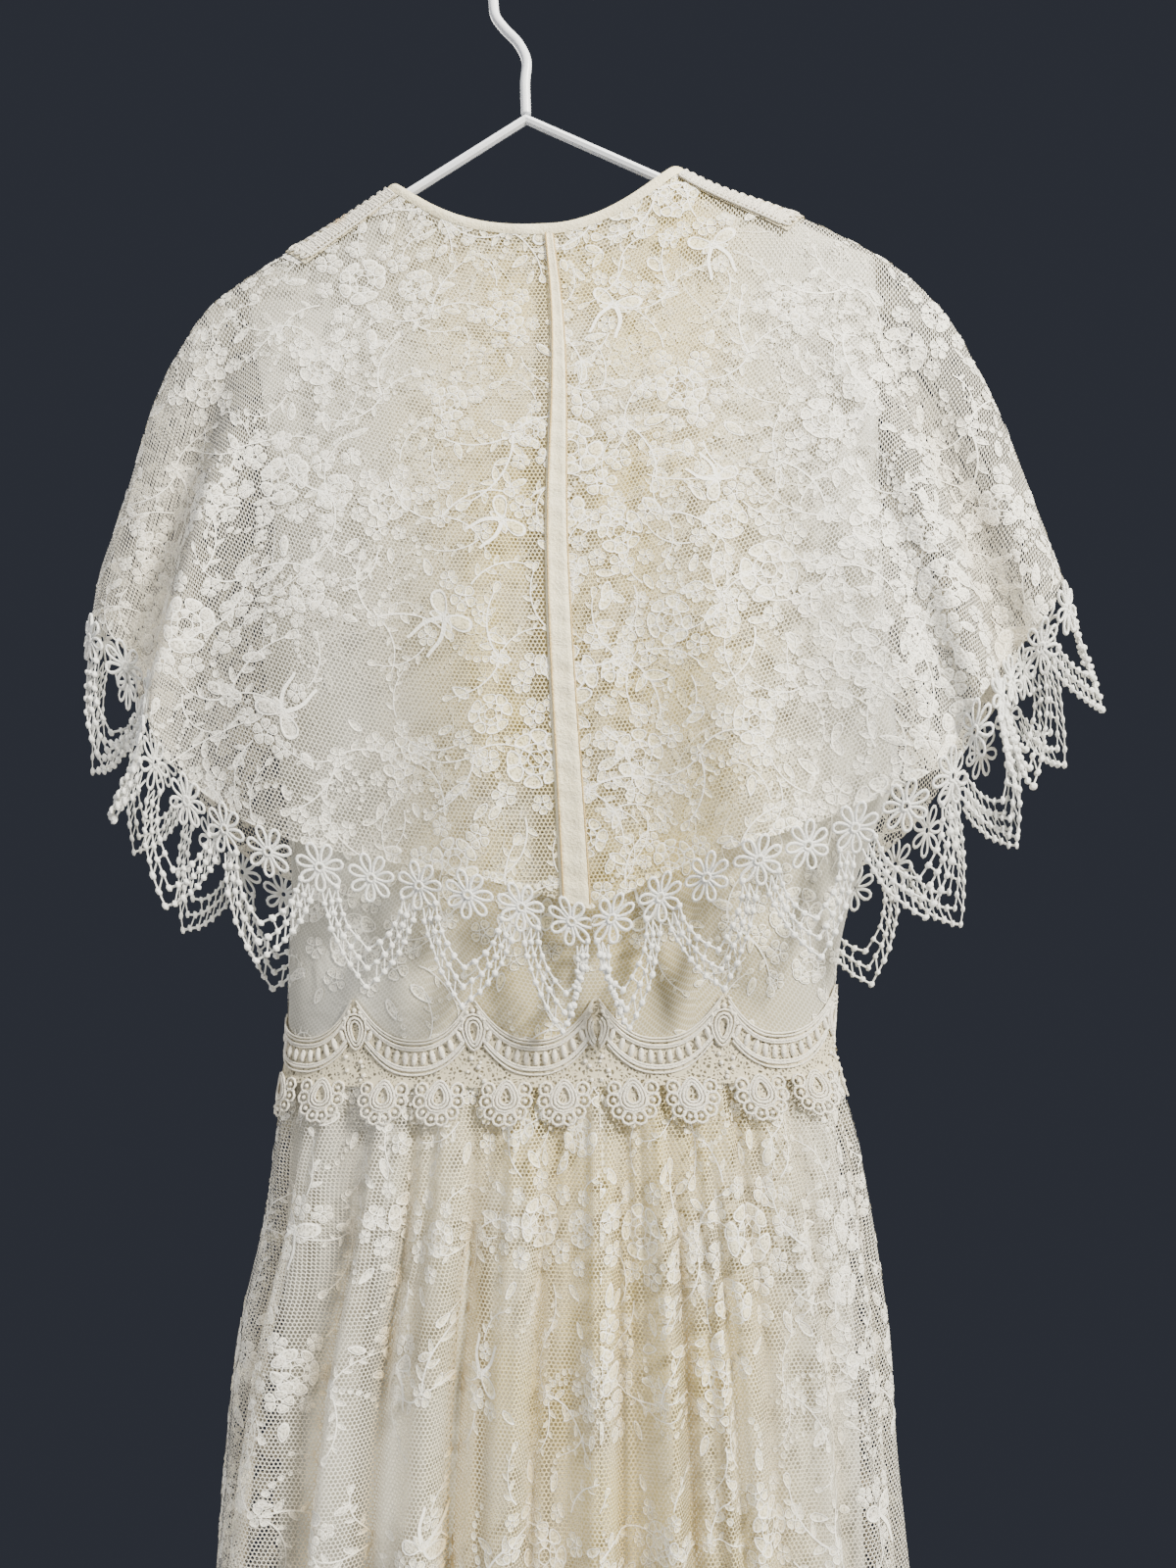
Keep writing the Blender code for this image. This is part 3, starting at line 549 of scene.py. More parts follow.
def mark_fold_shade(mesh, folds):
    # The fold attribute holds the painted shade of the troughs.
    made = mesh.attributes.new("fold", "FLOAT", "POINT")
    made.data.foreach_set("value", np.asarray(folds, np.float32))


def settings():
    return bpy.context.scene.lace_dress


# Making objects

def moved(mesh, change):
    """Moves all points of a mesh at once."""
    flat = np.empty(3 * len(mesh.vertices), np.float32)
    mesh.vertices.foreach_get("co", flat)
    mesh.vertices.foreach_set("co", np.asarray(change(flat.reshape(-1, 3)), np.float32).ravel())
    mesh.update()
    return mesh


def closed_mesh(name, bm):
    mesh = bpy.data.meshes.new(name)
    bm.to_mesh(mesh)
    bm.free()
    return mesh


def face_outwards(mesh, face=None):
    """Turns the faces of a shell away from the body, or those of closed shapes away from inside."""
    bm = bmesh.new()
    bm.from_mesh(mesh)
    if face is None:
        inside_out = bm.calc_volume(signed=True) < 0
    else:
        inside_out = sum(f.normal.y * f.calc_area() for f in bm.faces) * outward(face) < 0
    if inside_out:
        bmesh.ops.reverse_faces(bm, faces=bm.faces[:])
        bm.to_mesh(mesh)
    bm.free()


def finish(name, mesh, material, replaces=(), face=None):
    """The object of a piece: its mesh, finish, body and the solids that it stands for."""
    face_outwards(mesh, face)
    mesh.name = name
    mesh.shade_smooth()
    mesh.materials.clear()
    mesh.materials.append(material)
    made = bpy.data.objects.new(name, mesh)
    bpy.context.scene.collection.objects.link(made)
    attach(made, BODY)
    if replaces:
        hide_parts(*replaces)
    return made


def lay_cloth(name, sheet, face, material, replaces=(), height=0.0):
    """A thin shell over a sheet, with the sheet's flat lengths as its UV map."""
    rows, columns = sheet.points.shape[:2]
    bm = bmesh.new()
    bmesh.ops.create_grid(bm, x_segments=columns - 1, y_segments=rows - 1, size=0.5)
    bm.loops.layers.uv.new("flat")
    mesh = closed_mesh(name, bm)
    cells = []

    def place(flat):
        i = np.rint((flat[:, 0] + 0.5) * (columns - 1)).astype(int)
        j = np.rint((flat[:, 1] + 0.5) * (rows - 1)).astype(int)
        cells.extend((j, i))
        return sheet.points[j, i] + sheet.normals[j, i] * height

    moved(mesh, place)
    owners = np.empty(len(mesh.loops), np.int32)
    mesh.loops.foreach_get("vertex_index", owners)
    j, i = cells
    mesh.uv_layers["flat"].data.foreach_set("uv", sheet.flat[j[owners], i[owners]].astype(np.float32).ravel())
    # Painted shade in the troughs of the folds, for the finish to darken the colour.
    if sheet.folds is not None:
        mark_fold_shade(mesh, sheet.folds[j, i, 0])
    return finish(name, mesh, material, replaces, face)


# Flat lace: petals, leaves, stems

def fan(bm, uv, shape, segments, matrix):
    """A petal drawn as a disc; its U runs from 0 in the middle to 1 on the rim."""
    made = bmesh.ops.create_circle(bm, cap_ends=True, cap_tris=True, segments=segments, radius=1)
    rim = {}
    for vert in made["verts"]:
        rim[vert] = vert.co.length > 0.5
        angle = math.atan2(vert.co.y, vert.co.x)
        x, y = shape(angle) if rim[vert] else shape(None)
        vert.co = (x, y, 0.16 if rim[vert] else 0.05)
    for face in {face for vert in made["verts"] for face in vert.link_faces}:
        for loop in face.loops:
            loop[uv].uv = (1.0 if rim[loop.vert] else 0.0, 0.5)
    bmesh.ops.transform(bm, matrix=matrix, verts=made["verts"])


def petal_shape(length, width):
    def shape(angle):
        if angle is None:
            return 0, length * 0.55
        y = length * (0.5 + 0.5 * math.sin(angle))
        return width / 2 * math.cos(angle) * (0.5 + 0.6 * y / length), y
    return shape


def leaf_shape(length, width):
    def shape(angle):
        if angle is None:
            return 0, length * 0.45
        x, y = math.cos(angle), 0.5 + 0.5 * math.sin(angle)
        return width / 2 * x * abs(x) ** 0.35 * (1.15 - 0.5 * y), length * y
    return shape


def disc_shape(radius):
    def shape(angle):
        if angle is None:
            return 0, 0
        return radius * math.cos(angle), radius * math.sin(angle)
    return shape


def at(x, y, turn=0.0, size=1.0):
    turned = Matrix.Rotation(math.radians(turn), 4, "Z")
    return Matrix.Translation((x, y, 0)) @ turned @ Matrix.Diagonal((size, size, 1, 1))


def ribbon(bm, uv, points, width, matrix):
    """A stem: a narrow strip along points."""
    points = [Vector((*point, 0.18)) for point in points]
    made = bmesh.ops.create_grid(bm, x_segments=len(points) - 1, y_segments=1, size=0.5)
    faces = {face for vert in made["verts"] for face in vert.link_faces}
    for vert in made["verts"]:
        i = round((vert.co.x + 0.5) * (len(points) - 1))
        run = points[min(i + 1, len(points) - 1)] - points[max(i - 1, 0)]
        away = Vector((-run.y, run.x, 0)).normalized()
        thin = width * (1.0 - 0.35 * i / (len(points) - 1))
        vert.co = points[i] + away * (thin / 2 * (1 if vert.co.y > 0 else -1))
    for face in faces:
        for loop in face.loops:
            loop[uv].uv = (1.0, 0.5)
    bmesh.ops.transform(bm, matrix=matrix, verts=made["verts"])


def arc_points(radius, first, last, count):
    angles = np.radians(np.linspace(first, last, count))
    return [(radius * math.cos(a), radius * math.sin(a)) for a in angles]


def draw_flower(bm, uv, matrix, petals=5, radius=6.5):
    for k in range(petals):
        turn = 360 * k / petals
        fan(bm, uv, petal_shape(radius * 0.78, radius * 0.95), 9, matrix @ at(0, 0, turn) @ at(0, radius * 0.24))
    ribbon(bm, uv, arc_points(radius * 0.24, 0, 360, 9), 0.7, matrix)


def draw_rose(bm, uv, matrix, radius=16.0):
    """A full-blown rose: two rings of petals round an open middle."""
    for k in range(8):
        turn = 45 * k + 7 * math.sin(2.3 * k)
        length = radius * (0.50 + 0.06 * math.sin(1.7 * k))
        fan(bm, uv, petal_shape(length, radius * 0.78), 11, matrix @ at(0, 0, turn) @ at(0, radius * 0.5))
    for k in range(6):
        fan(bm, uv, petal_shape(radius * 0.30, radius * 0.40), 9, matrix @ at(0, 0, 60 * k + 20) @ at(0, radius * 0.28))
    ribbon(bm, uv, arc_points(radius * 0.27, 0, 360, 14), 0.8, matrix)
    ribbon(bm, uv, arc_points(radius * 0.52, 0, 360, 22), 0.8, matrix)


def draw_leaf(bm, uv, matrix, length=11.0):
    fan(bm, uv, leaf_shape(length, length * 0.48), 10, matrix)


def draw_sprig(bm, uv, matrix, length=34.0):
    """A curved stem with small leaves to either side and a bud at its tip."""
    radius = length * 0.9
    centre = at(-radius, 0)
    ribbon(bm, uv, arc_points(radius, 0, math.degrees(length / radius), 9), 0.9, matrix @ centre)
    for k in range(1, 6):
        angle = math.degrees(length / radius) * k / 6
        side = 1 if k % 2 else -1
        spot = centre @ at(0, 0, angle) @ at(radius, 0, -side * 48)
        draw_leaf(bm, uv, matrix @ spot, 7.5 - 0.5 * k)
    tip = centre @ at(0, 0, math.degrees(length / radius)) @ at(radius, 0)
    fan(bm, uv, petal_shape(6.5, 4.6), 9, matrix @ tip)


def draw_dots(bm, uv, matrix, count=6):
    for k in range(count):
        angle = 16 * k
        spot = at(-17, 0) @ at(0, 0, angle) @ at(17, 0)
        fan(bm, uv, disc_shape(1.9 - 0.14 * k), 8, matrix @ spot)


def draw_bow(bm, uv, matrix):
    """A ribbon bow: two loops with loose work inside, and two waving tails."""
    for side in (1, -1):
        flip = matrix @ Matrix.Diagonal((side, 1, 1, 1))
        fan(bm, uv, petal_shape(14, 9), 13, flip @ at(0, 0, -66))
        fan(bm, uv, leaf_shape(8, 4.5), 9, flip @ at(0, 0, -112))
        tail = [(1 + 0.9 * k + 1.6 * math.sin(0.55 * k), -1 - 2.1 * k) for k in range(9)]
        ribbon(bm, uv, tail, 2.2, flip)
    fan(bm, uv, disc_shape(2.6), 8, matrix)


DRAW = {
    "rose": draw_rose,
    "flower": draw_flower,
    "leaf": draw_leaf,
    "sprig": draw_sprig,
    "dots": draw_dots,
    "bow": draw_bow,
}

Sprig = namedtuple("Sprig", "kind x y turn size")
# Motifs of the lace, each drawn flat in millimetres
BOUQUET = (
    Sprig("rose", 0, 0, 0, 1.0),
    Sprig("rose", -27, -22, 30, 0.72),
    Sprig("flower", 22, 12, 10, 1.25),
    Sprig("flower", 24, -8, 40, 1.05),
    Sprig("flower", -4, -25, 20, 1.15),
    Sprig("flower", -25, 3, 0, 1.0),
    Sprig("flower", 11, -22, 50, 0.95),
    Sprig("flower", -14, 21, 15, 1.0),
    Sprig("flower", 6, 24, 60, 0.85),
    Sprig("flower", -40, -8, 60, 0.8),
    Sprig("flower", -12, -40, 25, 0.9),
    Sprig("flower", 33, 4, 15, 0.7),
    Sprig("leaf", -32, 16, 60, 1.2),
    Sprig("leaf", -22, 26, 30, 1.0),
    Sprig("leaf", 30, 22, -50, 1.3),
    Sprig("leaf", 16, 30, -20, 1.1),
    Sprig("leaf", 34, -18, -110, 1.2),
    Sprig("leaf", 22, -30, -140, 1.0),
    Sprig("leaf", -40, -30, 120, 1.1),
    Sprig("leaf", 1, -45, 170, 1.1),
    Sprig("sprig", -2, 32, -20, 1.0),
    Sprig("sprig", 36, 12, -75, 0.9),
    Sprig("sprig", -44, -4, 70, 0.85),
    Sprig("sprig", 12, -38, 190, 0.9),
    Sprig("dots", 20, 36, -40, 1.0),
    Sprig("dots", -42, 22, 30, 1.0),
    Sprig("dots", 30, -34, 200, 1.0),
)
POSY = (
    Sprig("rose", 0, 0, 0, 0.82),
    Sprig("flower", 17, 8, 0, 1.0),
    Sprig("flower", -17, 9, 30, 0.95),
    Sprig("flower", 1, -19, 15, 1.05),
    Sprig("flower", -12, -17, 45, 0.7),
    Sprig("flower", 14, -14, 5, 0.75),
    Sprig("flower", 0, 19, 40, 0.8),
    Sprig("leaf", -25, 16, 60, 1.0),
    Sprig("leaf", 26, 14, -60, 1.0),
    Sprig("leaf", 9, -28, 200, 1.1),
    Sprig("leaf", -10, -27, 160, 0.9),
    Sprig("sprig", 4, 25, -25, 0.9),
    Sprig("sprig", -4, -32, 165, 0.8),
    Sprig("dots", 24, -18, 220, 1.0),
    Sprig("dots", -22, -18, 130, 1.0),
)
KNOT = (
    Sprig("bow", 0, 0, 0, 1.15),
    Sprig("flower", 0, 14, 0, 1.1),
    Sprig("flower", -13, 15, 20, 0.8),
    Sprig("flower", 13, 15, 50, 0.8),
    Sprig("flower", 0, -13, 30, 0.8),
    Sprig("leaf", -22, 10, 70, 1.0),
    Sprig("leaf", 22, 10, -70, 1.0),
    Sprig("sprig", 2, 22, -10, 1.0),
    Sprig("sprig", -3, -18, 175, 0.8),
)
SPRAY = (
    Sprig("sprig", 0, 0, 0, 1.1),
    Sprig("sprig", -3, 2, 65, 0.8),
    Sprig("sprig", 2, -2, -120, 0.9),
    Sprig("flower", 0, 0, 0, 0.8),
    Sprig("dots", 6, 4, -60, 1.0),
)


MOTIFS = ("bouquet", "posy", "bouquet", "posy", "knot")


@cache
def drawn(name):
    """A motif as a flat mesh, made once."""
    bm = bmesh.new()
    uv = bm.loops.layers.uv.new("rim")
    for sprig in {"bouquet": BOUQUET, "posy": POSY, "knot": KNOT, "spray": SPRAY}[name]:
        DRAW[sprig.kind](bm, uv, at(sprig.x, sprig.y, sprig.turn, sprig.size))
    bmesh.ops.transform(bm, matrix=Matrix.Diagonal((MM, MM, MM, 1)), verts=bm.verts[:])
    return closed_mesh(f"motif_{name}", bm)


def local_scale(sheet, s, t):
    """How far one unit across and one unit down of a sheet's places reach, in metres."""
    step = 0.02
    s, t = np.clip(s, sheet.columns[0] + step, sheet.columns[-1] - step), np.clip(t, step, 1 - step)
    ends = on_sheet(sheet, np.array([s - step, s + step, s, s]), np.array([t, t, t - step, t + step]))
    run, fall = (ends[1] - ends[0]) / (2 * step), (ends[3] - ends[2]) / (2 * step)
    width = np.linalg.norm(run)
    slant = fall @ run / width
    return width, slant, math.sqrt(max(fall @ fall - slant * slant, 1e-8))


def add_motif(bm, name, base, s, t, turn, size, flip, fullness):
    """Adds a motif, turned and sized, at a place of a sheet, in the sheet's own units."""
    angle = math.radians(turn)
    width, slant, height = local_scale(base, s, t)

    def place(flat):
        x, y = flat[:, 0] * size * flip, flat[:, 1] * size
        x, y = x * math.cos(angle) - y * math.sin(angle), x * math.sin(angle) + y * math.cos(angle)
        down = -y / height
        across = (x / fullness - slant * down) / width
        return np.stack([across + s, down + t, flat[:, 2]], axis=1)

    copy = moved(drawn(name).copy(), place)
    bm.from_mesh(copy)
    bpy.data.meshes.remove(copy)


def lay_lace(name, sheet, base, face, material, plan, fullness=1.0, height=0.0003):
    """Lace motifs on a sheet. plan lists (motif, across, down, turn, size, flip)."""
    bm = bmesh.new()
    for row in plan:
        add_motif(bm, row[0], base, *row[1:], fullness)
    low, high = sheet.columns[0], sheet.columns[-1]
    sides = (((low, 0, 0), (-1, 0, 0)), ((high, 0, 0), (1, 0, 0)))
    ends = (((0, 0, 0), (0, -1, 0)), ((0, 1, 0), (0, 1, 0)))
    for spot, away in sides + ends:
        bmesh.ops.bisect_plane(
            bm, geom=bm.verts[:] + bm.edges[:] + bm.faces[:], plane_co=spot, plane_no=away, clear_outer=True
        )
    mesh = closed_mesh(name, bm)
    # Painted shade in the troughs, read from the sheet under each motif.
    trough_shade = []

    def place(flat):
        trough_shade.append(fold_shade_at(sheet, flat[:, 0], flat[:, 1]))
        return on_sheet(sheet, flat[:, 0], flat[:, 1], flat[:, 2] + height)

    moved(mesh, place)
    mark_fold_shade(mesh, trough_shade[0])
    return finish(name, mesh, material, (), face)


def scattered(sheet, base, spacing, seed, fullness=1.0):
    """Motifs in staggered rows, unevenly turned, close enough to cover most of the net."""
    rng = random.Random(seed)
    plan = []
    middle = len(base.columns) // 2
    height = float(np.linalg.norm(np.diff(base.points[:, middle], axis=0), axis=1).sum())
    rows = max(1, round(height / (spacing * 0.88)))
    span = sheet.columns[-1] - sheet.columns[0]
    ends = (sheet.columns[0] + span * 0.25, sheet.columns[-1] - span * 0.25)
    for j in range(rows + 1):
        t = j / rows
        width = sum(local_scale(base, s, t)[0] for s in ends) / 2
        count = max(2, round(span * width / spacing * fullness))
        for i in range(count + 1):
            cell = span / count
            s = sheet.columns[0] + cell * (i + 0.5 * (j % 2) + rng.uniform(-0.14, 0.14))
            spot = t + rng.uniform(-0.14, 0.14) / rows
            name = rng.choice(MOTIFS)
            turn = rng.uniform(-40, 40) + rng.choice((0, 0, 0, 180))
            plan.append((name, s, spot, turn, rng.uniform(0.68, 0.92), rng.choice((-1, 1))))
            plan.append(("spray", s + 0.5 * cell, spot + 0.1 / rows, rng.uniform(0, 360), rng.uniform(0.8, 1.1), 1))
    return plan


# Corded work: cords, beads, looped petals

Cord = namedtuple("Cord", "points radius closed")


def cord_mesh(cords, sides=1):
    """All cords as one mesh of round tubes."""
    curve = bpy.data.curves.new("cords", "CURVE")
    curve.dimensions = "3D"
    curve.bevel_depth = 1.0
    curve.bevel_resolution = sides
    curve.use_fill_caps = True
    for cord in cords:
        points = np.ones((len(cord.points), 4))
        points[:, :3] = cord.points
        spline = curve.splines.new("POLY")
        spline.points.add(len(points) - 1)
        spline.points.foreach_set("co", points.ravel())
        spline.points.foreach_set("radius", np.full(len(points), cord.radius))
        spline.use_cyclic_u = cord.closed
    made = bpy.data.objects.new("cords", curve)
    bpy.context.scene.collection.objects.link(made)
    graph = bpy.context.evaluated_depsgraph_get()
    mesh = bpy.data.meshes.new_from_object(made.evaluated_get(graph))
    bpy.data.objects.remove(made)
    bpy.data.curves.remove(curve)
    return mesh


@cache
def bead_mesh(segments, rings):
    bm = bmesh.new()
    bmesh.ops.create_uvsphere(bm, u_segments=segments, v_segments=rings, radius=1)
    return closed_mesh("bead", bm)


def add_copy(bm, mesh, matrix):
    copy = mesh.copy()
    copy.transform(matrix)
    bm.from_mesh(copy)
    bpy.data.meshes.remove(copy)


def add_bead(bm, point, radius, small=False):
    radius = (radius,) * 3 if isinstance(radius, float) else radius
    matrix = Matrix.Translation(Vector(point)) @ Matrix.Diagonal((*radius, 1))
    add_copy(bm, bead_mesh(6, 4) if small else bead_mesh(6, 5), matrix)


def ring_points(x, y, z, wide, high, count):
    angles = np.linspace(0, 2 * math.pi, count, endpoint=False)
    return np.stack([x + wide * np.sin(angles), y + high * np.cos(angles), np.full(count, z)], axis=1)


@cache
def daisy_mesh(petals=7, length=9.0, width=5.6, cord=0.76):
    """A daisy of looped petals round a ring, flat, in metres."""
    cords = [Cord(ring_points(0, 0, 1.0, 2.0, 2.0, 10), cord, True)]
    angles = np.linspace(0, 2 * math.pi, 12, endpoint=False)
    y = 2.3 + length * (0.5 - 0.5 * np.cos(angles))
    x = width / 2 * np.sin(angles) * (0.42 + 0.6 * (y - 2.3) / length)
    for k in range(petals):
        turn = 2 * math.pi * k / petals
        loop = np.stack(
            [x * math.cos(turn) - y * math.sin(turn), x * math.sin(turn) + y * math.cos(turn), np.full(12, 0.5)], axis=1
        )
        cords.append(Cord(loop, cord, True))
    mesh = cord_mesh(cords)
    mesh.transform(Matrix.Diagonal((MM, MM, MM, 1)))
    return mesh


@cache
def hem_line(face, side):
    places = np.linspace(0, 1, 240)
    points = cape(face, side, places, np.ones_like(places))
    steps = np.linalg.norm(np.diff(points, axis=0), axis=1)
    return places, np.concatenate([[0], np.cumsum(steps)])


def hanging_hem(face, side):
    """A sheet below and above the capelet's hem: across is a length, down a distance below."""
    places, lengths = hem_line(face, side)
    total = lengths[-1]
    columns = np.linspace(0, total, 260)
    rows = np.linspace(-0.014, 0.064, 40)
    share = np.interp(columns, lengths, places)
    low, high = np.clip(share - SWING_STEP, 0, 1), np.clip(share + SWING_STEP, 0, 1)
    one = np.ones_like(share)
    run = cape(face, side, high, one) - cape(face, side, low, one)
    run /= np.linalg.norm(run, axis=1, keepdims=True)
    away = np.stack([run[:, 2], np.zeros_like(share), -run[:, 0]], axis=1) * side
    away = np.where(away[:, 2:] > 0, -away, away)
    hang = np.array([0, 0, -1]) * (1 - SWAG_SWING) + away * SWAG_SWING
    hang /= np.linalg.norm(hang, axis=1, keepdims=True)
    base = cape(face, side, share, one)
    long = cape_length(face, side, share)
    points = []
    for below in rows:
        if below < 0:
            points.append(cape(face, side, share, 1 + below / long))
        else:
            points.append(base + hang * below)
    points = np.stack(points)
    return Sheet(points, normals_of(points, face), None, columns, rows)


def hem_trim(face, side, rng):
    """The daisies and beaded swags of one quarter of the hem, flat: length, below, height."""
    total = hem_line(face, side)[1][-1]
    bm = bmesh.new()
    cords = []
    low, high = 0.0015, total - 0.0015
    for k in range(-1, int(total / REPEAT) + 2):
        middle = FIRST_DAISY + REPEAT * k
        for spot in (middle, middle + REPEAT / 2):
            if 0.006 < spot < total - 0.004:
                turn = Matrix.Rotation(rng.uniform(-0.16, 0.16), 4, "Z")
                add_copy(bm, daisy_mesh(), Matrix.Translation((spot, 0, 0.0004)) @ turn)
        for half in (-1, 1):
            tip = middle + half * REPEAT / 2
            if not low < tip < high:
                continue
            strands = []
            for n, (top_x, top_b, tip_b, count) in enumerate(STRANDS):
                share = np.linspace(0, 1, count + 1)
                start = np.clip(middle + half * top_x * MM, low + 0.0025 * n, high - 0.0025 * n)
                sag = 4 * share * (1 - share) * 3.2 * MM
                x = start + (tip - start) * share - half * sag
                y = (top_b + (tip_b - top_b) * share) * MM + sag * 0.6
                x[:-1] += [rng.uniform(-0.35, 0.35) * MM for _ in x[:-1]]
                y[:-1] += [rng.uniform(-0.35, 0.35) * MM for _ in y[:-1]]
                strand = np.stack([np.clip(x, low, high), y, np.full_like(x, 0.0006)], axis=1)
                strands.append(strand)
                cords.append(Cord(strand, 0.52 * MM, False))
                for spot in strand[1 if n else 0 :]:
                    add_bead(bm, spot, tuple(rng.uniform(1.4, 1.95) * MM for _ in range(3)))
                if n:
                    inner = strands[n - 1]
                    for spot, end in zip(inner[:-1], strand[1:]):
                        cords.append(Cord(np.stack([spot, end]), 0.38 * MM, False))
    bm.from_mesh(cord_mesh(cords, 0))
    return closed_mesh("hem_trim", bm)


def laid(mesh, sheet, height):
    """Lays a flat mesh of lengths, drops and heights on a sheet."""
    moved(mesh, lambda flat: on_sheet(sheet, flat[:, 0], flat[:, 1], flat[:, 2] + height))
    face_outwards(mesh)
    return mesh


def joined(meshes):
    bm = bmesh.new()
    for mesh in meshes:
        bm.from_mesh(mesh)
    return closed_mesh("joined", bm)


# Waist band

@cache
def waist_length(face, side):
    middle = float(centre_x(face, WAIST_DROP))
    reach = abs(float(through(TORSO, side_name(side), WAIST_DROP)) - middle)
    depth = float(through(TORSO, face, WAIST_DROP))
    shares = np.sin(np.linspace(0, math.pi / 2, 60))
    points = np.stack([reach * shares, depth * oval(shares)], axis=1)
    return float(np.linalg.norm(np.diff(points, axis=0), axis=1).sum())


def waist_sheet(face, side):
    total = waist_length(face, side)
    columns = np.linspace(0, total, 160)
    rows = np.linspace(-0.044, 0.030, 38)
    points = []
    for below in rows:
        drop = WAIST_DROP + below
        middle = float(centre_x(face, drop))
        reach = float(through(TORSO, side_name(side), drop)) - middle
        depth = float(through(TORSO, face, drop))
        lift = float(through(TORSO, "gather", drop) * ease(below, -0.014, 0.006))
        share = quarter_share(abs(reach), depth, columns / total)
        x = middle + share * (reach + side * lift)
        y = outward(face) * (depth + lift) * oval(share)
        points.append(np.stack([x, y, np.full_like(x, -drop)], axis=-1))
    points = np.stack(points)
    return Sheet(points, normals_of(points, face), None, columns, rows)


def drop_points(x, y, wide, high, count=14):
    """A drop-shaped loop, its point towards the waist seam for a positive height."""
    angles = np.linspace(0, 2 * math.pi, count, endpoint=False)
    across = wide * np.sin(angles) * (1 + 0.35 * np.cos(angles))
    return np.stack([x + across, y + high * np.cos(angles), np.full(count, 0.8)], axis=1)


def festoon(phase, shift=0.0):
    """The band's upper edge below the waist seam, in millimetres, over one swag."""
    fold = min(phase, 1 - phase) * 2
    return -17 - 22 * (1 - fold) ** 2.4 + shift


# Lines of cord along each festoon: shift down, radius, part of the swag left at either end
BAND_LINES = (
    (-0.6, 0.45, 0.02), (0.9, 0.5, 0.03), (3.0, 0.62, 0.04), (4.1, 0.5, 0.05),
    (12.8, 0.55, 0.07), (14.0, 0.68, 0.07), (16.2, 0.5, 0.08),
)


def band_trim(face, side, rng):
    """Festoons of cord and satin blocks, medallions at their peaks, fans below; in millimetres."""
    total = waist_length(face, side)
    bm = bmesh.new()
    cords = []
    width = SWAG / MM
    for k in range(-1, int(total / SWAG) + 2):
        start = k * width
        for shift, radius, end in BAND_LINES:
            points = [(start + width * f, festoon(f, shift), 0.6) for f in np.linspace(end, 1 - end, 19)]
            cords.append(Cord(points, radius, False))
        for f in np.linspace(0.12, 0.88, 11):
            matrix = Matrix.Translation((start + width * f, festoon(f, 8.5), 0.3))
            lean = Matrix.Rotation(math.radians(-56 * (f - 0.5) + rng.uniform(-6, 6)), 4, "Z")
            add_copy(bm, bead_mesh(8, 6), matrix @ lean @ Matrix.Diagonal((1.45, 3.6, 1.4, 1)))
        for f in (0.27, 0.73):
            x, y = start + width * f, 9.0
            for wide, high, thick in ((2.9, 4.3, 0.6), (4.3, 5.8, 0.75), (5.9, 7.3, 0.6)):
                cords.append(Cord(drop_points(x, y, wide, high), thick, True))
            for a in np.radians(np.linspace(-112, 112, 8)):
                spot = (x + 9.4 * math.sin(a), y + 0.8 + 10.2 * math.cos(a), 0.4)
                cords.append(Cord(ring_points(*spot, 3.1, 3.1, 8), 0.65, True))
                add_bead(bm, spot, 1.2, True)
        y = -22.0
        for wide, high, thick in ((2.3, 5.2, 0.6), (3.7, 7.0, 0.7), (5.4, 9.0, 0.6)):
            cords.append(Cord(drop_points(start, y, -wide, -high), thick, True))
        for a in np.radians(np.linspace(100, 260, 7)):
            add_bead(bm, (start + 6.6 * math.sin(a), y + 10.6 * math.cos(a), 0.4), 1.3, True)
        for n in range(6):
            add_bead(bm, (start + rng.uniform(-6, 6), -9 + 2.2 * n, 0.2), rng.uniform(0.9, 1.4), True)
    bm.from_mesh(cord_mesh(cords))
    bmesh.ops.transform(bm, matrix=Matrix.Diagonal((MM, MM, MM, 1)), verts=bm.verts[:])
    outside = [
        vert for vert in bm.verts if not (0.0002 < vert.co.x < total - 0.0002 and -0.0435 < vert.co.y < 0.0295)
    ]
    bmesh.ops.delete(bm, geom=outside, context="VERTS")
    return closed_mesh("band_trim", bm)


def band_ground(face, side):
    """The worked ground of the band, as a sheet between its upper edge and its fans."""
    total = waist_length(face, side)
    sheet = waist_sheet(face, side)
    columns = np.linspace(0, total, 180)
    phases = (columns / SWAG) % 1
    top = np.array([festoon(f) for f in phases]) * MM
    fans = np.minimum(np.abs(phases - 0.27), np.abs(phases - 0.73)) * SWAG
    foot = np.where(fans < 0.0095, 0.009 + np.sqrt(np.clip(0.0095**2 - fans**2, 0, 1)), 0.005)
    rows = np.linspace(0, 1, 14)
    below = top + rows[:, None] * (foot - top)
    grid = on_sheet(sheet, np.broadcast_to(columns, below.shape), below)
    flat = np.stack([np.broadcast_to(columns, below.shape), -below], axis=-1)
    return Sheet(grid, normals_of(grid, face), flat, columns, rows)


# Finishes

def linear(code):
    """An sRGB hex colour as linear light."""
    values = [int(code[i : i + 2], 16) / 255 for i in (1, 3, 5)]
    return [v / 12.92 if v <= 0.04045 else ((v + 0.055) / 1.055) ** 2.4 for v in values]


def node(tree, kind, sockets=None, **settings):
    """Adds a node with its settings. Each socket gets a value or the output it is linked to."""
    made = tree.nodes.new(kind)
    for key, value in settings.items():
        setattr(made, key, value)
    for key, value in (sockets or {}).items():
        if isinstance(value, bpy.types.NodeSocket):
            tree.links.new(value, made.inputs[key])
        else:
            made.inputs[key].default_value = value
    return made


def new_material(name):
    made = bpy.data.materials.new(name)
    made.use_nodes = True
    tree = made.node_tree
    shader = tree.nodes["Principled BSDF"]
    return made, tree, shader


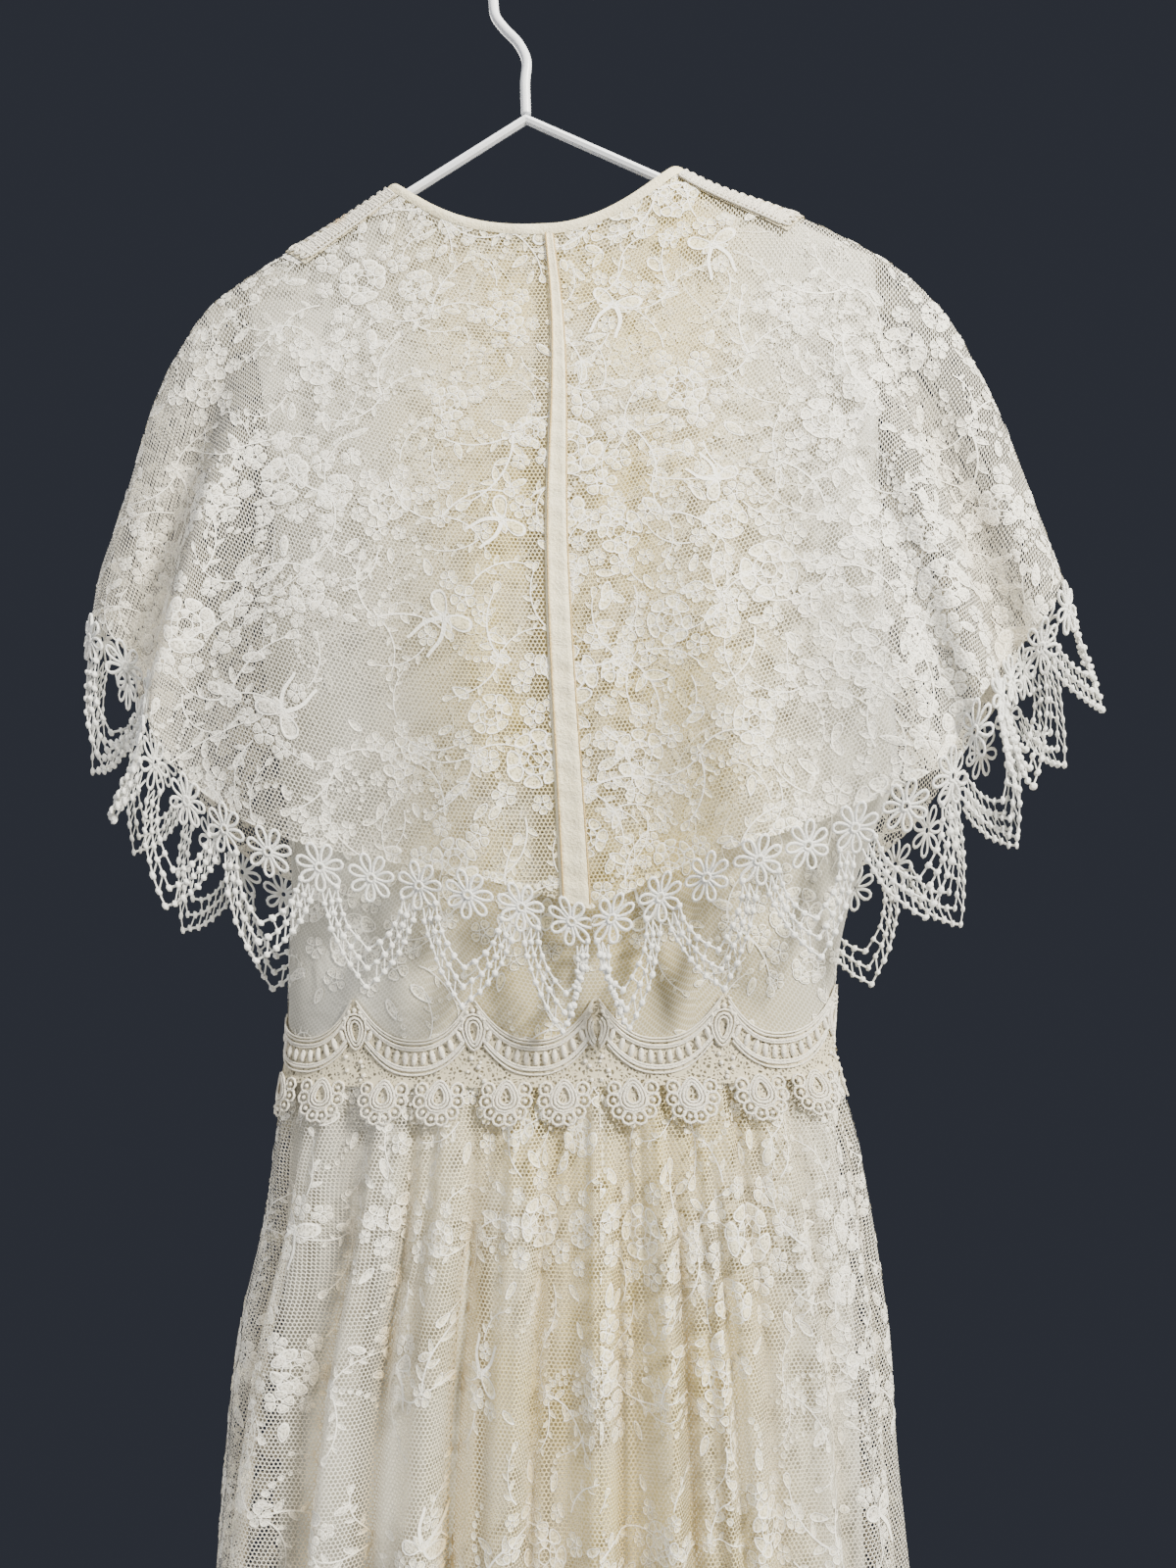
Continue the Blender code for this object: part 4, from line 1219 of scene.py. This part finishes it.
def hexagons(tree, source, width):
    """Distance from the nearest thread of a hexagonal net, from 0 on it to 0.5 in a hole."""
    scale = node(tree, "ShaderNodeVectorMath", {0: source, "Scale": 1 / width}, operation="SCALE")
    cells = []
    for shift in (0.0, 0.5):
        moved = node(
            tree, "ShaderNodeVectorMath",
            {0: scale.outputs[0], 1: (shift + 2000, (shift + 2000) * 1.7320508, 0)},
            operation="ADD",
        )
        wrapped = node(
            tree, "ShaderNodeVectorMath",
            {0: moved.outputs[0], 1: (1, 1.7320508, 1)},
            operation="MODULO",
        )
        centred = node(
            tree, "ShaderNodeVectorMath",
            {0: wrapped.outputs[0], 1: (0.5, 0.8660254, 0)},
            operation="SUBTRACT",
        )
        folded = node(tree, "ShaderNodeVectorMath", {0: centred.outputs[0]}, operation="ABSOLUTE")
        slanted = node(
            tree, "ShaderNodeVectorMath",
            {0: folded.outputs[0], 1: (0.5, 0.8660254, 0)},
            operation="DOT_PRODUCT",
        )
        split = node(tree, "ShaderNodeSeparateXYZ", {0: folded.outputs[0]})
        parts = {0: slanted.outputs["Value"], 1: split.outputs[0]}
        cells.append(node(tree, "ShaderNodeMath", parts, operation="MAXIMUM").outputs[0])
    nearest = node(tree, "ShaderNodeMath", dict(enumerate(cells)), operation="MINIMUM")
    return node(tree, "ShaderNodeMath", {0: 0.5, 1: nearest.outputs[0]}, operation="SUBTRACT").outputs[0]


# How far the yellowed strip lies to the right of the middle, in metres, and how strong it is
AGED_SHIFT = 0.018
AGED_STRENGTH = 1.5


def cloth_shade(tree, low, high, yellow):
    """Colour of aged ivory cloth: uneven in soft patches and yellower along the centre back."""
    place = node(tree, "ShaderNodeTexCoord").outputs["Object"]
    patches = node(tree, "ShaderNodeTexNoise", {"Vector": place, "Scale": 9.0, "Detail": 3.0, "Roughness": 0.55})
    ramp = node(
        tree, "ShaderNodeMapRange",
        {"Value": patches.outputs["Fac"], "From Min": 0.35, "From Max": 0.65},
    )
    mix = node(
        tree, "ShaderNodeMix",
        {"Factor": ramp.outputs[0], 6: (*low, 1), 7: (*high, 1)},
        data_type="RGBA",
    )
    split = node(tree, "ShaderNodeSeparateXYZ", {0: place})
    shifted = node(tree, "ShaderNodeMath", {0: split.outputs[0], 1: AGED_SHIFT}, operation="ADD")
    from_seam = node(tree, "ShaderNodeMath", {0: shifted.outputs[0]}, operation="ABSOLUTE").outputs[0]
    near = node(
        tree, "ShaderNodeMapRange",
        {"Value": from_seam, "From Min": 0.035, "From Max": 0.125, "To Min": 1.0, "To Max": 0.0},
        interpolation_type="SMOOTHSTEP",
    )
    uneven = node(tree, "ShaderNodeTexNoise", {"Vector": place, "Scale": 22.0, "Detail": 2.0})
    patchy = node(tree, "ShaderNodeMath", {0: uneven.outputs["Fac"], 1: AGED_STRENGTH}, operation="MULTIPLY")
    parts = {0: near.outputs[0], 1: patchy.outputs[0]}
    amount = node(tree, "ShaderNodeMath", parts, operation="MULTIPLY", use_clamp=True).outputs[0]
    aged = node(tree, "ShaderNodeMix", {"Factor": amount, 6: mix.outputs[2], 7: (*yellow, 1)}, data_type="RGBA")
    return aged.outputs[2]


def painted_fold_shade(tree, colour):
    """Painted shade: darker and warmer in the troughs of the folds."""
    fold = node(tree, "ShaderNodeAttribute", attribute_name="fold").outputs["Fac"]
    shaded = node(
        tree, "ShaderNodeMix",
        {"Factor": fold, 6: colour, 7: (*FOLD_SHADE_TINT, 1)},
        data_type="RGBA", blend_type="MULTIPLY",
    )
    return shaded.outputs[2]


# Colour of the painted shade in the troughs of the folds
FOLD_SHADE_TINT = (0.53, 0.41, 0.20)


@cache
def net_finish():
    """Cotton bobbin net, knitted in hexagons: thin threads with holes that light passes.

    The hexagons are 2.1 mm across, a little coarser than the real net, so that they show.
    """
    made, tree, shader = new_material("ivory_bobbin_net")
    flat = node(tree, "ShaderNodeUVMap", uv_map="flat").outputs[0]
    edge = hexagons(tree, flat, settings().net_hole * MM)
    thread = node(
        tree, "ShaderNodeMapRange",
        {"Value": edge, "From Min": 0.095, "From Max": 0.130, "To Min": 0.92, "To Max": 0.0},
        interpolation_type="SMOOTHSTEP",
    )
    colour = cloth_shade(tree, linear("#CFC9B9"), linear("#E2DDCE"), linear("#DFCF96"))
    tree.links.new(painted_fold_shade(tree, colour), shader.inputs["Base Color"])
    tree.links.new(thread.outputs[0], shader.inputs["Alpha"])
    shader.inputs["Roughness"].default_value = 0.75
    shader.inputs["Sheen Weight"].default_value = 0.15
    return made


@cache
def satin_finish():
    """Acetate satin lining, woven and pressed: ivory, with a soft broad gloss and small creases."""
    made, tree, shader = new_material("ivory_satin_lining")
    colour = cloth_shade(tree, linear("#A09B8A"), linear("#C0BCAC"), linear("#BCAA6E"))
    place = node(tree, "ShaderNodeTexCoord").outputs["Object"]
    creases = node(tree, "ShaderNodeTexNoise", {"Vector": place, "Scale": 34.0, "Detail": 4.0, "Distortion": 0.6})
    flat = node(tree, "ShaderNodeUVMap", uv_map="flat").outputs[0]
    edge = hexagons(tree, flat, settings().net_hole * MM)
    thread = node(
        tree, "ShaderNodeMapRange",
        {"Value": edge, "From Min": 0.06, "From Max": 0.16, "To Min": 0.5, "To Max": 0.0},
    )
    netted = node(
        tree, "ShaderNodeMix",
        {"Factor": thread.outputs[0], 6: colour, 7: (*linear("#EFEBDF"), 1)},
        data_type="RGBA",
    )
    tree.links.new(painted_fold_shade(tree, netted.outputs[2]), shader.inputs["Base Color"])
    bump = node(tree, "ShaderNodeBump", {"Height": creases.outputs["Fac"], "Distance": 0.004, "Strength": 0.5})
    tree.links.new(bump.outputs[0], shader.inputs["Normal"])
    shader.inputs["Roughness"].default_value = 0.38
    shader.inputs["Sheen Weight"].default_value = 0.2
    return made


@cache
def lace_finish():
    """Clothwork of the lace, close-woven cotton with a heavier outline: denser on each rim."""
    made, tree, shader = new_material("ivory_lace_clothwork")
    rim = node(tree, "ShaderNodeSeparateXYZ", {0: node(tree, "ShaderNodeUVMap", uv_map="rim").outputs[0]})
    edge = node(
        tree, "ShaderNodeMapRange",
        {"Value": rim.outputs[0], "From Min": 0.68, "From Max": 0.86},
        interpolation_type="SMOOTHSTEP",
    )
    place = node(tree, "ShaderNodeTexCoord").outputs["Object"]
    weave = node(tree, "ShaderNodeTexNoise", {"Vector": place, "Scale": 900.0, "Detail": 2.0})
    fill = node(
        tree, "ShaderNodeMapRange",
        {"Value": weave.outputs["Fac"], "From Min": 0.36, "From Max": 0.52, "To Min": 0.22},
    )
    parts = {0: fill.outputs[0], 1: edge.outputs[0]}
    alpha = node(tree, "ShaderNodeMath", parts, operation="MAXIMUM").outputs[0]
    ground = cloth_shade(tree, linear("#E8E2D1"), linear("#F1ECDC"), linear("#EDE0AE"))
    bright = node(
        tree, "ShaderNodeMix",
        {"Factor": edge.outputs[0], 6: ground, 7: (*linear("#FBF7EA"), 1)},
        data_type="RGBA",
    )
    tree.links.new(painted_fold_shade(tree, bright.outputs[2]), shader.inputs["Base Color"])
    tree.links.new(alpha, shader.inputs["Alpha"])
    parts = {0: edge.outputs[0], 1: weave.outputs["Fac"]}
    height = node(tree, "ShaderNodeMath", parts, operation="ADD").outputs[0]
    bump = node(tree, "ShaderNodeBump", {"Height": height, "Distance": 0.0006, "Strength": 0.7})
    tree.links.new(bump.outputs[0], shader.inputs["Normal"])
    shader.inputs["Roughness"].default_value = 0.6
    shader.inputs["Sheen Weight"].default_value = 0.2
    return made


def thread_finish(name, colour, shadow):
    """Guipure: mercerised thread embroidered thickly, matt with fine ribs where the thread turns."""
    made, tree, shader = new_material(name)
    place = node(tree, "ShaderNodeTexCoord").outputs["Object"]
    grain = node(tree, "ShaderNodeTexNoise", {"Vector": place, "Scale": 1100.0, "Detail": 3.0, "Roughness": 0.7})
    patches = node(tree, "ShaderNodeTexNoise", {"Vector": place, "Scale": 30.0, "Detail": 2.0})
    mix = node(
        tree, "ShaderNodeMix",
        {"Factor": patches.outputs["Fac"], 6: (*linear(shadow), 1), 7: (*linear(colour), 1)},
        data_type="RGBA",
    )
    tree.links.new(mix.outputs[2], shader.inputs["Base Color"])
    bump = node(tree, "ShaderNodeBump", {"Height": grain.outputs["Fac"], "Distance": 0.0016, "Strength": 0.9})
    tree.links.new(bump.outputs[0], shader.inputs["Normal"])
    shader.inputs["Roughness"].default_value = 0.55
    return made


@cache
def white_guipure():
    return thread_finish("white_guipure_thread", "#FFFFFA", "#F3F1E8")


# Thin golden cords for the lap's edges: painted shadow along its folded edges.
@cache
def painted_edge_shadow():
    return thread_finish("painted_edge_shadow", "#DCC48C", "#C09C58")


@cache
def cream_guipure():
    """Cream guipure, with the brown mark that age has left on the wearer's left shoulder."""
    made = thread_finish("cream_guipure_thread", "#FFFAEE", "#EFE5CC")
    tree = made.node_tree
    shader = tree.nodes["Principled BSDF"]
    colour = shader.inputs["Base Color"].links[0].from_socket
    place = node(tree, "ShaderNodeTexCoord").outputs["Object"]
    away = node(tree, "ShaderNodeVectorMath", {0: place, 1: STAIN_PLACE}, operation="DISTANCE")
    mark = node(
        tree, "ShaderNodeMapRange",
        {"Value": away.outputs["Value"], "From Min": 0.002, "From Max": 0.009, "To Min": 0.8, "To Max": 0.0},
        interpolation_type="SMOOTHSTEP",
    )
    stained = node(
        tree, "ShaderNodeMix",
        {"Factor": mark.outputs[0], 6: colour, 7: (*linear("#C79A4A"), 1)},
        data_type="RGBA",
    )
    tree.links.new(stained.outputs[2], shader.inputs["Base Color"])
    return made


@cache
def ground_finish():
    """The band's worked ground: loose embroidery with small holes."""
    made, tree, shader = new_material("cream_guipure_ground")
    flat = node(tree, "ShaderNodeUVMap", uv_map="flat").outputs[0]
    cells = node(tree, "ShaderNodeTexVoronoi", {"Vector": flat, "Scale": 520.0}, feature="DISTANCE_TO_EDGE")
    thread = node(
        tree, "ShaderNodeMapRange",
        {"Value": cells.outputs["Distance"], "From Min": 0.16, "From Max": 0.24, "To Min": 1.0, "To Max": 0.12},
    )
    shader.inputs["Base Color"].default_value = (*linear("#CDC2A4"), 1)
    tree.links.new(thread.outputs[0], shader.inputs["Alpha"])
    bump = node(tree, "ShaderNodeBump", {"Height": thread.outputs[0], "Distance": 0.0008, "Strength": 0.8})
    tree.links.new(bump.outputs[0], shader.inputs["Normal"])
    shader.inputs["Roughness"].default_value = 0.65
    return made


@cache
def facing_finish():
    """Satin facing under net, cut on the bias and turned: yellowed with age, with small puckers."""
    made, tree, shader = new_material("yellowed_satin_facing")
    place = node(tree, "ShaderNodeTexCoord").outputs["Object"]
    patches = node(tree, "ShaderNodeTexNoise", {"Vector": place, "Scale": 45.0, "Detail": 4.0})
    weave = node(tree, "ShaderNodeTexNoise", {"Vector": place, "Scale": 650.0, "Detail": 3.0, "Roughness": 0.7})
    mix = node(
        tree, "ShaderNodeMix",
        {"Factor": patches.outputs["Fac"], 6: (*linear("#D8C78C"), 1), 7: (*linear("#EFE4C2"), 1)},
        data_type="RGBA",
    )
    half = node(tree, "ShaderNodeMath", {0: weave.outputs["Fac"], 1: 0.5}, operation="MULTIPLY").outputs[0]
    netted = node(
        tree, "ShaderNodeMix",
        {"Factor": half, 6: mix.outputs[2], 7: (*linear("#F7F2E4"), 1)},
        data_type="RGBA",
    )
    tree.links.new(netted.outputs[2], shader.inputs["Base Color"])
    low = node(tree, "ShaderNodeMath", {0: weave.outputs["Fac"], 1: 0.35}, operation="MULTIPLY")
    parts = {0: patches.outputs["Fac"], 1: low.outputs[0]}
    height = node(tree, "ShaderNodeMath", parts, operation="ADD").outputs[0]
    bump = node(tree, "ShaderNodeBump", {"Height": height, "Distance": 0.003, "Strength": 0.8})
    tree.links.new(bump.outputs[0], shader.inputs["Normal"])
    shader.inputs["Roughness"].default_value = 0.5
    return made


@cache
def wire_finish():
    """Steel wire dipped in PVC: white, smooth, softly glossy, with faint dents."""
    made, tree, shader = new_material("white_dipped_wire")
    place = node(tree, "ShaderNodeTexCoord").outputs["Object"]
    noise = node(tree, "ShaderNodeTexNoise", {"Vector": place, "Scale": 90.0, "Detail": 2.0})
    mix = node(
        tree, "ShaderNodeMix",
        {"Factor": noise.outputs["Fac"], 6: (*linear("#E4E6EA"), 1), 7: (*linear("#F0F1F3"), 1)},
        data_type="RGBA",
    )
    tree.links.new(mix.outputs[2], shader.inputs["Base Color"])
    bump = node(tree, "ShaderNodeBump", {"Height": noise.outputs["Fac"], "Distance": 0.0008, "Strength": 0.3})
    tree.links.new(bump.outputs[0], shader.inputs["Normal"])
    shader.inputs["Roughness"].default_value = 0.34
    shader.inputs["IOR"].default_value = 1.53
    return made


# Pieces

# The hook's bent stem, from just above the arms up to where its round part begins
HOOK_STEM = np.array([
    (0.0105, -0.0901), (0.0105, -0.074), (0.0095, -0.0625), (0.0135, -0.053), (0.0200, -0.0455), (0.0250, -0.038),
])
HOOK_TURN = (-12, 195)
FLOOR_DROP = -1.66
STAIN_PLACE = (0.109, 0.010, -0.141)
FLOOR_RADIUS = 1.15
CAPE_FOLD_SHADE = 0.3
BINDING_DOWN = 0.017
LAP_SHARE = 0.048
SKIRT_COLUMNS = 181
CAPE_COLUMNS = np.linspace(0, 1, 72)
CAPE_ROWS = np.linspace(0, 1, 84)
BACK = (("back", (1,), "back_left"), ("back", (-1,), "back_right"))
PANELS = BACK + (("front", (1, -1), "front"),)


@cache
def cape_sheet(face, sides):
    plain = sheet_of(plain_cape, face, sides, CAPE_COLUMNS, CAPE_ROWS)
    return with_fold_shade(sheet_of(cape_cloth, face, sides, CAPE_COLUMNS, CAPE_ROWS), plain, CAPE_FOLD_SHADE)


def bodice_shares():
    return np.sin(np.linspace(0, math.pi / 2, 50))


@cache
def bodice_sheet(face, sides):
    return sheet_of(bodice, face, sides, bodice_shares(), np.linspace(0, 1, 90))


def skirt_sheet(rows, hem, waves, face, sides, count, levels=100):
    def surface(face, side, share, down):
        return skirt(rows, hem, waves, face, side, share, down)
    return sheet_of(surface, face, sides, np.linspace(0, 1, count), np.linspace(0, 1, levels))


class LACEDRESS_OT_bodice(bpy.types.Operator):
    """Lined bodice with its lace"""

    bl_idname = "lace_dress.bodice"
    bl_label = "Bodice"

    def execute(self, context):
        for n, (face, sides, name) in enumerate(PANELS):
            sheet = bodice_sheet(face, sides)
            shell = lay_cloth(f"bodice_satin_{name}", sheet, face, satin_finish(), [f"bodice_{name}"])
            plan = scattered(sheet, sheet, 0.082, 40 + n)
            lace = lay_lace(f"bodice_lace_{name}", sheet, sheet, face, lace_finish(), plan)
        return {"FINISHED"}


class LACEDRESS_OT_capelet(bpy.types.Operator):
    """Capelet of one layer of net with its lace"""

    bl_idname = "lace_dress.capelet"
    bl_label = "Capelet"

    def execute(self, context):
        for n, (face, sides, name) in enumerate(PANELS):
            sheet = cape_sheet(face, sides)
            shell = lay_cloth(f"cape_net_{name}", sheet, face, net_finish(), [f"cape_{name}"])
            plan = scattered(sheet, sheet, 0.064 if face == "back" else 0.070, 10 + n)
            lace = lay_lace(f"cape_lace_{name}", sheet, sheet, face, lace_finish(), plan)
        return {"FINISHED"}


class LACEDRESS_OT_edging(bpy.types.Operator):
    """Guipure edging of daisies and beaded swags"""

    bl_idname = "lace_dress.edging"
    bl_label = "Capelet edging"

    def execute(self, context):
        rng = random.Random(7)
        for face, sides, name in PANELS:
            parts = [laid(hem_trim(face, side, rng), hanging_hem(face, side), 0.0006) for side in sides]
            finish(f"edging_{name}", joined(parts), white_guipure(), [f"cape_edging_{name}"])
        return {"FINISHED"}


class LACEDRESS_OT_waist_band(bpy.types.Operator):
    """Guipure band with festoons, medallions and fans over the waist seam"""

    bl_idname = "lace_dress.waist_band"
    bl_label = "Waist band"

    def execute(self, context):
        rng = random.Random(11)
        for face, sides, name in PANELS:
            parts = []
            for side in sides:
                parts.append(laid(band_trim(face, side, rng), waist_sheet(face, side), BAND_LIFT))
                called, ground = f"band_ground_{face}_{side_name(side)}", band_ground(face, side)
                shell = lay_cloth(called, ground, face, ground_finish(), height=BAND_LIFT)
            finish(f"waist_cords_{name}", joined(parts), cream_guipure(), [f"waist_band_{name}"])
        return {"FINISHED"}


class LACEDRESS_OT_skirt(bpy.types.Operator):
    """Gathered lace skirt and its satin lining"""

    bl_idname = "lace_dress.skirt"
    bl_label = "Skirt and lining"

    def execute(self, context):
        for n, (face, sides, name) in enumerate(PANELS):
            net = skirt_sheet(TORSO, SKIRT_HEM_DROP, 1, face, sides, SKIRT_COLUMNS)
            net = with_fold_shade(net, skirt_sheet(TORSO, SKIRT_HEM_DROP, 0, face, sides, SKIRT_COLUMNS))
            shell = lay_cloth(f"skirt_net_{name}", net, face, net_finish(), [f"skirt_{name}"])
            for side in sides:
                part = with_fold_shade(
                    skirt_sheet(TORSO, SKIRT_HEM_DROP, 1, face, (side,), SKIRT_COLUMNS),
                    skirt_sheet(TORSO, SKIRT_HEM_DROP, 0, face, (side,), SKIRT_COLUMNS),
                )
                base = skirt_sheet(TORSO, SKIRT_HEM_DROP, 0, face, (side,), 60)
                spacing = 0.078 if face == "back" else 0.088
                plan = scattered(part, base, spacing, 70 + n + side, 1.35)
                called = f"skirt_lace_{face}_{side_name(side)}"
                lay_lace(called, part, base, face, lace_finish(), plan, 1.35)
            lining = skirt_sheet(LINING, LINING_HEM_DROP, 1, face, sides, 110, 70)
            lining = with_fold_shade(lining, skirt_sheet(LINING, LINING_HEM_DROP, 0, face, sides, 110, 70))
            shell = lay_cloth(f"lining_satin_{name}", lining, face, satin_finish(), [f"lining_{name}"])
        return {"FINISHED"}


class LACEDRESS_OT_facings(bpy.types.Operator):
    """Neck binding and the lap over the fastening"""

    bl_idname = "lace_dress.facings"
    bl_label = "Neck binding and lap"

    def execute(self, context):
        for face, sides, name in PANELS:
            rows = np.linspace(0, BINDING_DOWN, 8)
            sheet = sheet_of(cape_cloth, face, sides, np.linspace(0, 1, 60), rows)
            roll = np.sin(np.linspace(0, math.pi, 8))[:, None, None] * 0.0005
            lifted = sheet._replace(points=sheet.points + sheet.normals * (0.0006 + roll))
            called, stands_for = f"binding_{name}", [f"neck_binding_{name}"]
            lay_cloth(called, lifted, face, facing_finish(), stands_for)
        rows = np.linspace(BINDING_DOWN, 1, 160)
        sheet = sheet_of(cape_cloth, "back", (1,), np.linspace(0.001, LAP_SHARE, 9), rows)
        roll = np.array([0.2, 1.0, 0.85, 0.7, 0.62, 0.6, 0.66, 0.95, 0.1])[None, :, None] * 0.0012
        pucker = np.sin(np.arange(160) * 1.1)[:, None, None] * 0.00022
        lifted = sheet._replace(points=sheet.points + sheet.normals * (0.0003 + roll + pucker))
        shell = lay_cloth("lap", lifted, "back", facing_finish(), ["zip_lap"])
        # Golden cords along both edges of the lap: painted shadow of its folded edges.
        edges = [
            Cord(lifted.points[::2, k] + lifted.normals[::2, k] * 0.0001, 0.00045, False) for k in (0, 7)
        ]
        edge_shadow_cords = finish("lap_edge_shadow", cord_mesh(edges), painted_edge_shadow())
        return {"FINISHED"}


class LACEDRESS_OT_shoulder_trims(bpy.types.Operator):
    """Corded guipure over both shoulder seams"""

    bl_idname = "lace_dress.shoulder_trims"
    bl_label = "Shoulder trims"

    def execute(self, context):
        for side in (1, -1):
            for face in ("back", "front"):
                name = f"{face}_{side_name(side)}"
                sheet = sheet_of(cape_cloth, face, (side,), np.linspace(0.905, 1, 14), np.linspace(0.020, 0.230, 50))
                called = f"shoulder_ground_{name}"
                shell = lay_cloth(called, sheet, face, ground_finish(), height=0.0008)
                mesh, stands_for = cord_mesh(shoulder_cords(sheet, side)), [f"shoulder_trim_{name}"]
                cords = finish(f"shoulder_cords_{name}", mesh, cream_guipure(), stands_for)
        return {"FINISHED"}


def shoulder_cords(sheet, side):
    """Two cords along the trim's edges, with bars and rings between them."""
    def cord(share, down, radius):
        share, down = np.broadcast_arrays(share, down)
        return Cord(on_sheet(sheet, side * share, down, 0.0013), radius, False)

    line = np.linspace(0.022, 0.212, 40)
    cords = [cord(share, line, 0.0006) for share in (0.914, 0.928, 0.962)]
    angles = np.linspace(0, 2 * math.pi, 8)
    for k, t in enumerate(np.linspace(0.022, 0.21, 26)):
        f = np.linspace(0, 1, 5)
        cords.append(cord(0.914 + 0.083 * f, t + (0.004 if k % 2 else -0.002) * f, 0.0007))
        cords.append(cord(0.945 + 0.014 * np.cos(angles), t + 0.0035 * np.sin(angles), 0.0005))
    for share in (0.928, 0.952, 0.976):
        for reach in (0.6, 1.0):
            ring = np.linspace(0, 2 * math.pi, 10)
            cords.append(cord(share + 0.010 * reach * np.cos(ring), 0.215 + 0.011 * reach * np.sin(ring), 0.0005))
    return cords


def hook_line():
    """The hook's path: its bent stem and its round part, with every bend eased."""
    top = -(HOOK_RADIUS - WIRE_RADIUS)
    angles = np.radians(np.linspace(*HOOK_TURN, 24))
    round_part = np.stack([HOOK_RADIUS * np.cos(angles), top + HOOK_RADIUS * np.sin(angles)], axis=1)
    line = np.concatenate([HOOK_STEM, round_part])
    padded = np.concatenate([2 * line[:1] - line[1:2], line, 2 * line[-1:] - line[-2:-1]])
    f = np.linspace(0, 1, 7)[:-1, None]
    run = []
    for a, b, c, d in zip(padded, padded[1:], padded[2:], padded[3:]):
        run.append(b + 0.5 * f * (c - a + f * (2 * a - 5 * b + 4 * c - d + f * (3 * (b - c) + d - a))))
    run.append(line[-1:])
    x, z = np.concatenate(run).T
    return np.stack([x, np.zeros(len(x)), z], axis=1)


class LACEDRESS_OT_hanger(bpy.types.Operator):
    """Hanger of dipped wire"""

    bl_idname = "lace_dress.hanger"
    bl_label = "Hanger"

    def execute(self, context):
        for name in ("hanger_arms", "hanger_bar"):
            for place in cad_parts[name].material_slots:
                place.material = wire_finish()
        hook = cord_mesh([Cord(hook_line(), WIRE_RADIUS, False)], 6)
        finish("wire_hook", hook, wire_finish(), ["hanger_hook"])
        return {"FINISHED"}


class LACEDRESS_OT_stage(bpy.types.Operator):
    """Camera, soft light, pale floor and a plain backdrop"""

    bl_idname = "lace_dress.stage"
    bl_label = "Stage"

    def execute(self, context):
        place = Vector((-0.0458, 0.5994, -0.4476))
        ahead, up = Vector((0.0566, -0.9982, 0.0174)), Vector((-0.0291, 0.0158, 0.9995))
        across = ahead.cross(up).normalized()
        up = across.cross(ahead).normalized()
        view = bpy.data.cameras.new("photo_view")
        view.sensor_fit = "AUTO"
        view.sensor_width = 36
        view.lens = 27.0
        view.clip_start = 0.01
        camera = bpy.data.objects.new("photo_view", view)
        rotation = Matrix((across, up, -ahead)).transposed()
        camera.matrix_world = Matrix.Translation(place) @ rotation.to_4x4()
        context.scene.collection.objects.link(camera)
        context.scene.camera = camera

        def light(name, spot, aim, size, power, colour):
            lamp = bpy.data.lights.new(name, "AREA")
            lamp.size = size
            lamp.energy = power
            lamp.color = linear(colour)
            made = bpy.data.objects.new(name, lamp)
            made.location = spot
            made.rotation_euler = (Vector(aim) - Vector(spot)).to_track_quat("-Z", "Y").to_euler()
            context.scene.collection.objects.link(made)

        light("key", (-1.5, 1.2, 0.75), (0, 0, -0.65), 0.35, 182, "#FFFCF3")
        light("fill", (1.6, 1.8, -0.5), (0, 0, -0.9), 1.4, 30, "#F6F8FF")
        light("top", (0, 0.5, 1.5), (0, 0, -0.6), 1.2, 34, "#FFFFFF")
        light("front_left", (1.5, -1.7, 0.5), (0, 0, -0.7), 1.2, 60, "#FFFDF6")
        light("front_right", (-1.9, -1.3, -0.1), (0, 0, -0.7), 1.2, 26, "#F6F8FF")
        world = bpy.data.worlds.new("studio")
        world.use_nodes = True
        world.node_tree.nodes["Background"].inputs[0].default_value = (*linear("#30333B"), 1)
        world.node_tree.nodes["Background"].inputs[1].default_value = 1.0
        context.scene.world = world

        bm = bmesh.new()
        bmesh.ops.create_circle(bm, cap_ends=True, segments=96, radius=FLOOR_RADIUS)
        bmesh.ops.translate(bm, vec=(0, 0, FLOOR_DROP), verts=bm.verts[:])
        mesh = closed_mesh("floor", bm)
        painted, tree, shader = new_material("pale_painted_floor")
        shader.inputs["Base Color"].default_value = (*linear("#DCDAD5"), 1)
        shader.inputs["Roughness"].default_value = 0.9
        mesh.materials.append(painted)
        floor = bpy.data.objects.new("floor", mesh)
        context.scene.collection.objects.link(floor)
        return {"FINISHED"}


class LACEDRESS_PG_settings(bpy.types.PropertyGroup):
    """Sizes that a user would change"""

    net_hole: bpy.props.FloatProperty(
        name="Net hole", description="Width of one hexagon of the net, in millimetres", default=2.1, min=0.5, max=6.0
    )


OPERATORS = (
    LACEDRESS_OT_bodice,
    LACEDRESS_OT_capelet,
    LACEDRESS_OT_edging,
    LACEDRESS_OT_waist_band,
    LACEDRESS_OT_skirt,
    LACEDRESS_OT_facings,
    LACEDRESS_OT_shoulder_trims,
    LACEDRESS_OT_hanger,
    LACEDRESS_OT_stage,
)


class LACEDRESS_PT_panel(bpy.types.Panel):
    """The dress's sizes and pieces"""

    bl_label = "Lace Dress"
    bl_idname = "LACEDRESS_PT_panel"
    bl_space_type = "VIEW_3D"
    bl_region_type = "UI"
    bl_category = "Lace Dress"

    def draw(self, context):
        self.layout.prop(context.scene.lace_dress, "net_hole")
        for operator in OPERATORS:
            self.layout.operator(operator.bl_idname)


CLASSES = (LACEDRESS_PG_settings, *OPERATORS, LACEDRESS_PT_panel)


def register():
    for cls in CLASSES:
        bpy.utils.register_class(cls)
    bpy.types.Scene.lace_dress = bpy.props.PointerProperty(type=LACEDRESS_PG_settings)


def unregister():
    del bpy.types.Scene.lace_dress
    for cls in reversed(CLASSES):
        bpy.utils.unregister_class(cls)


def main():
    register()
    for operator in OPERATORS:
        group, name = operator.bl_idname.split(".")
        getattr(getattr(bpy.ops, group), name)()


if __name__ == "__main__":
    main()
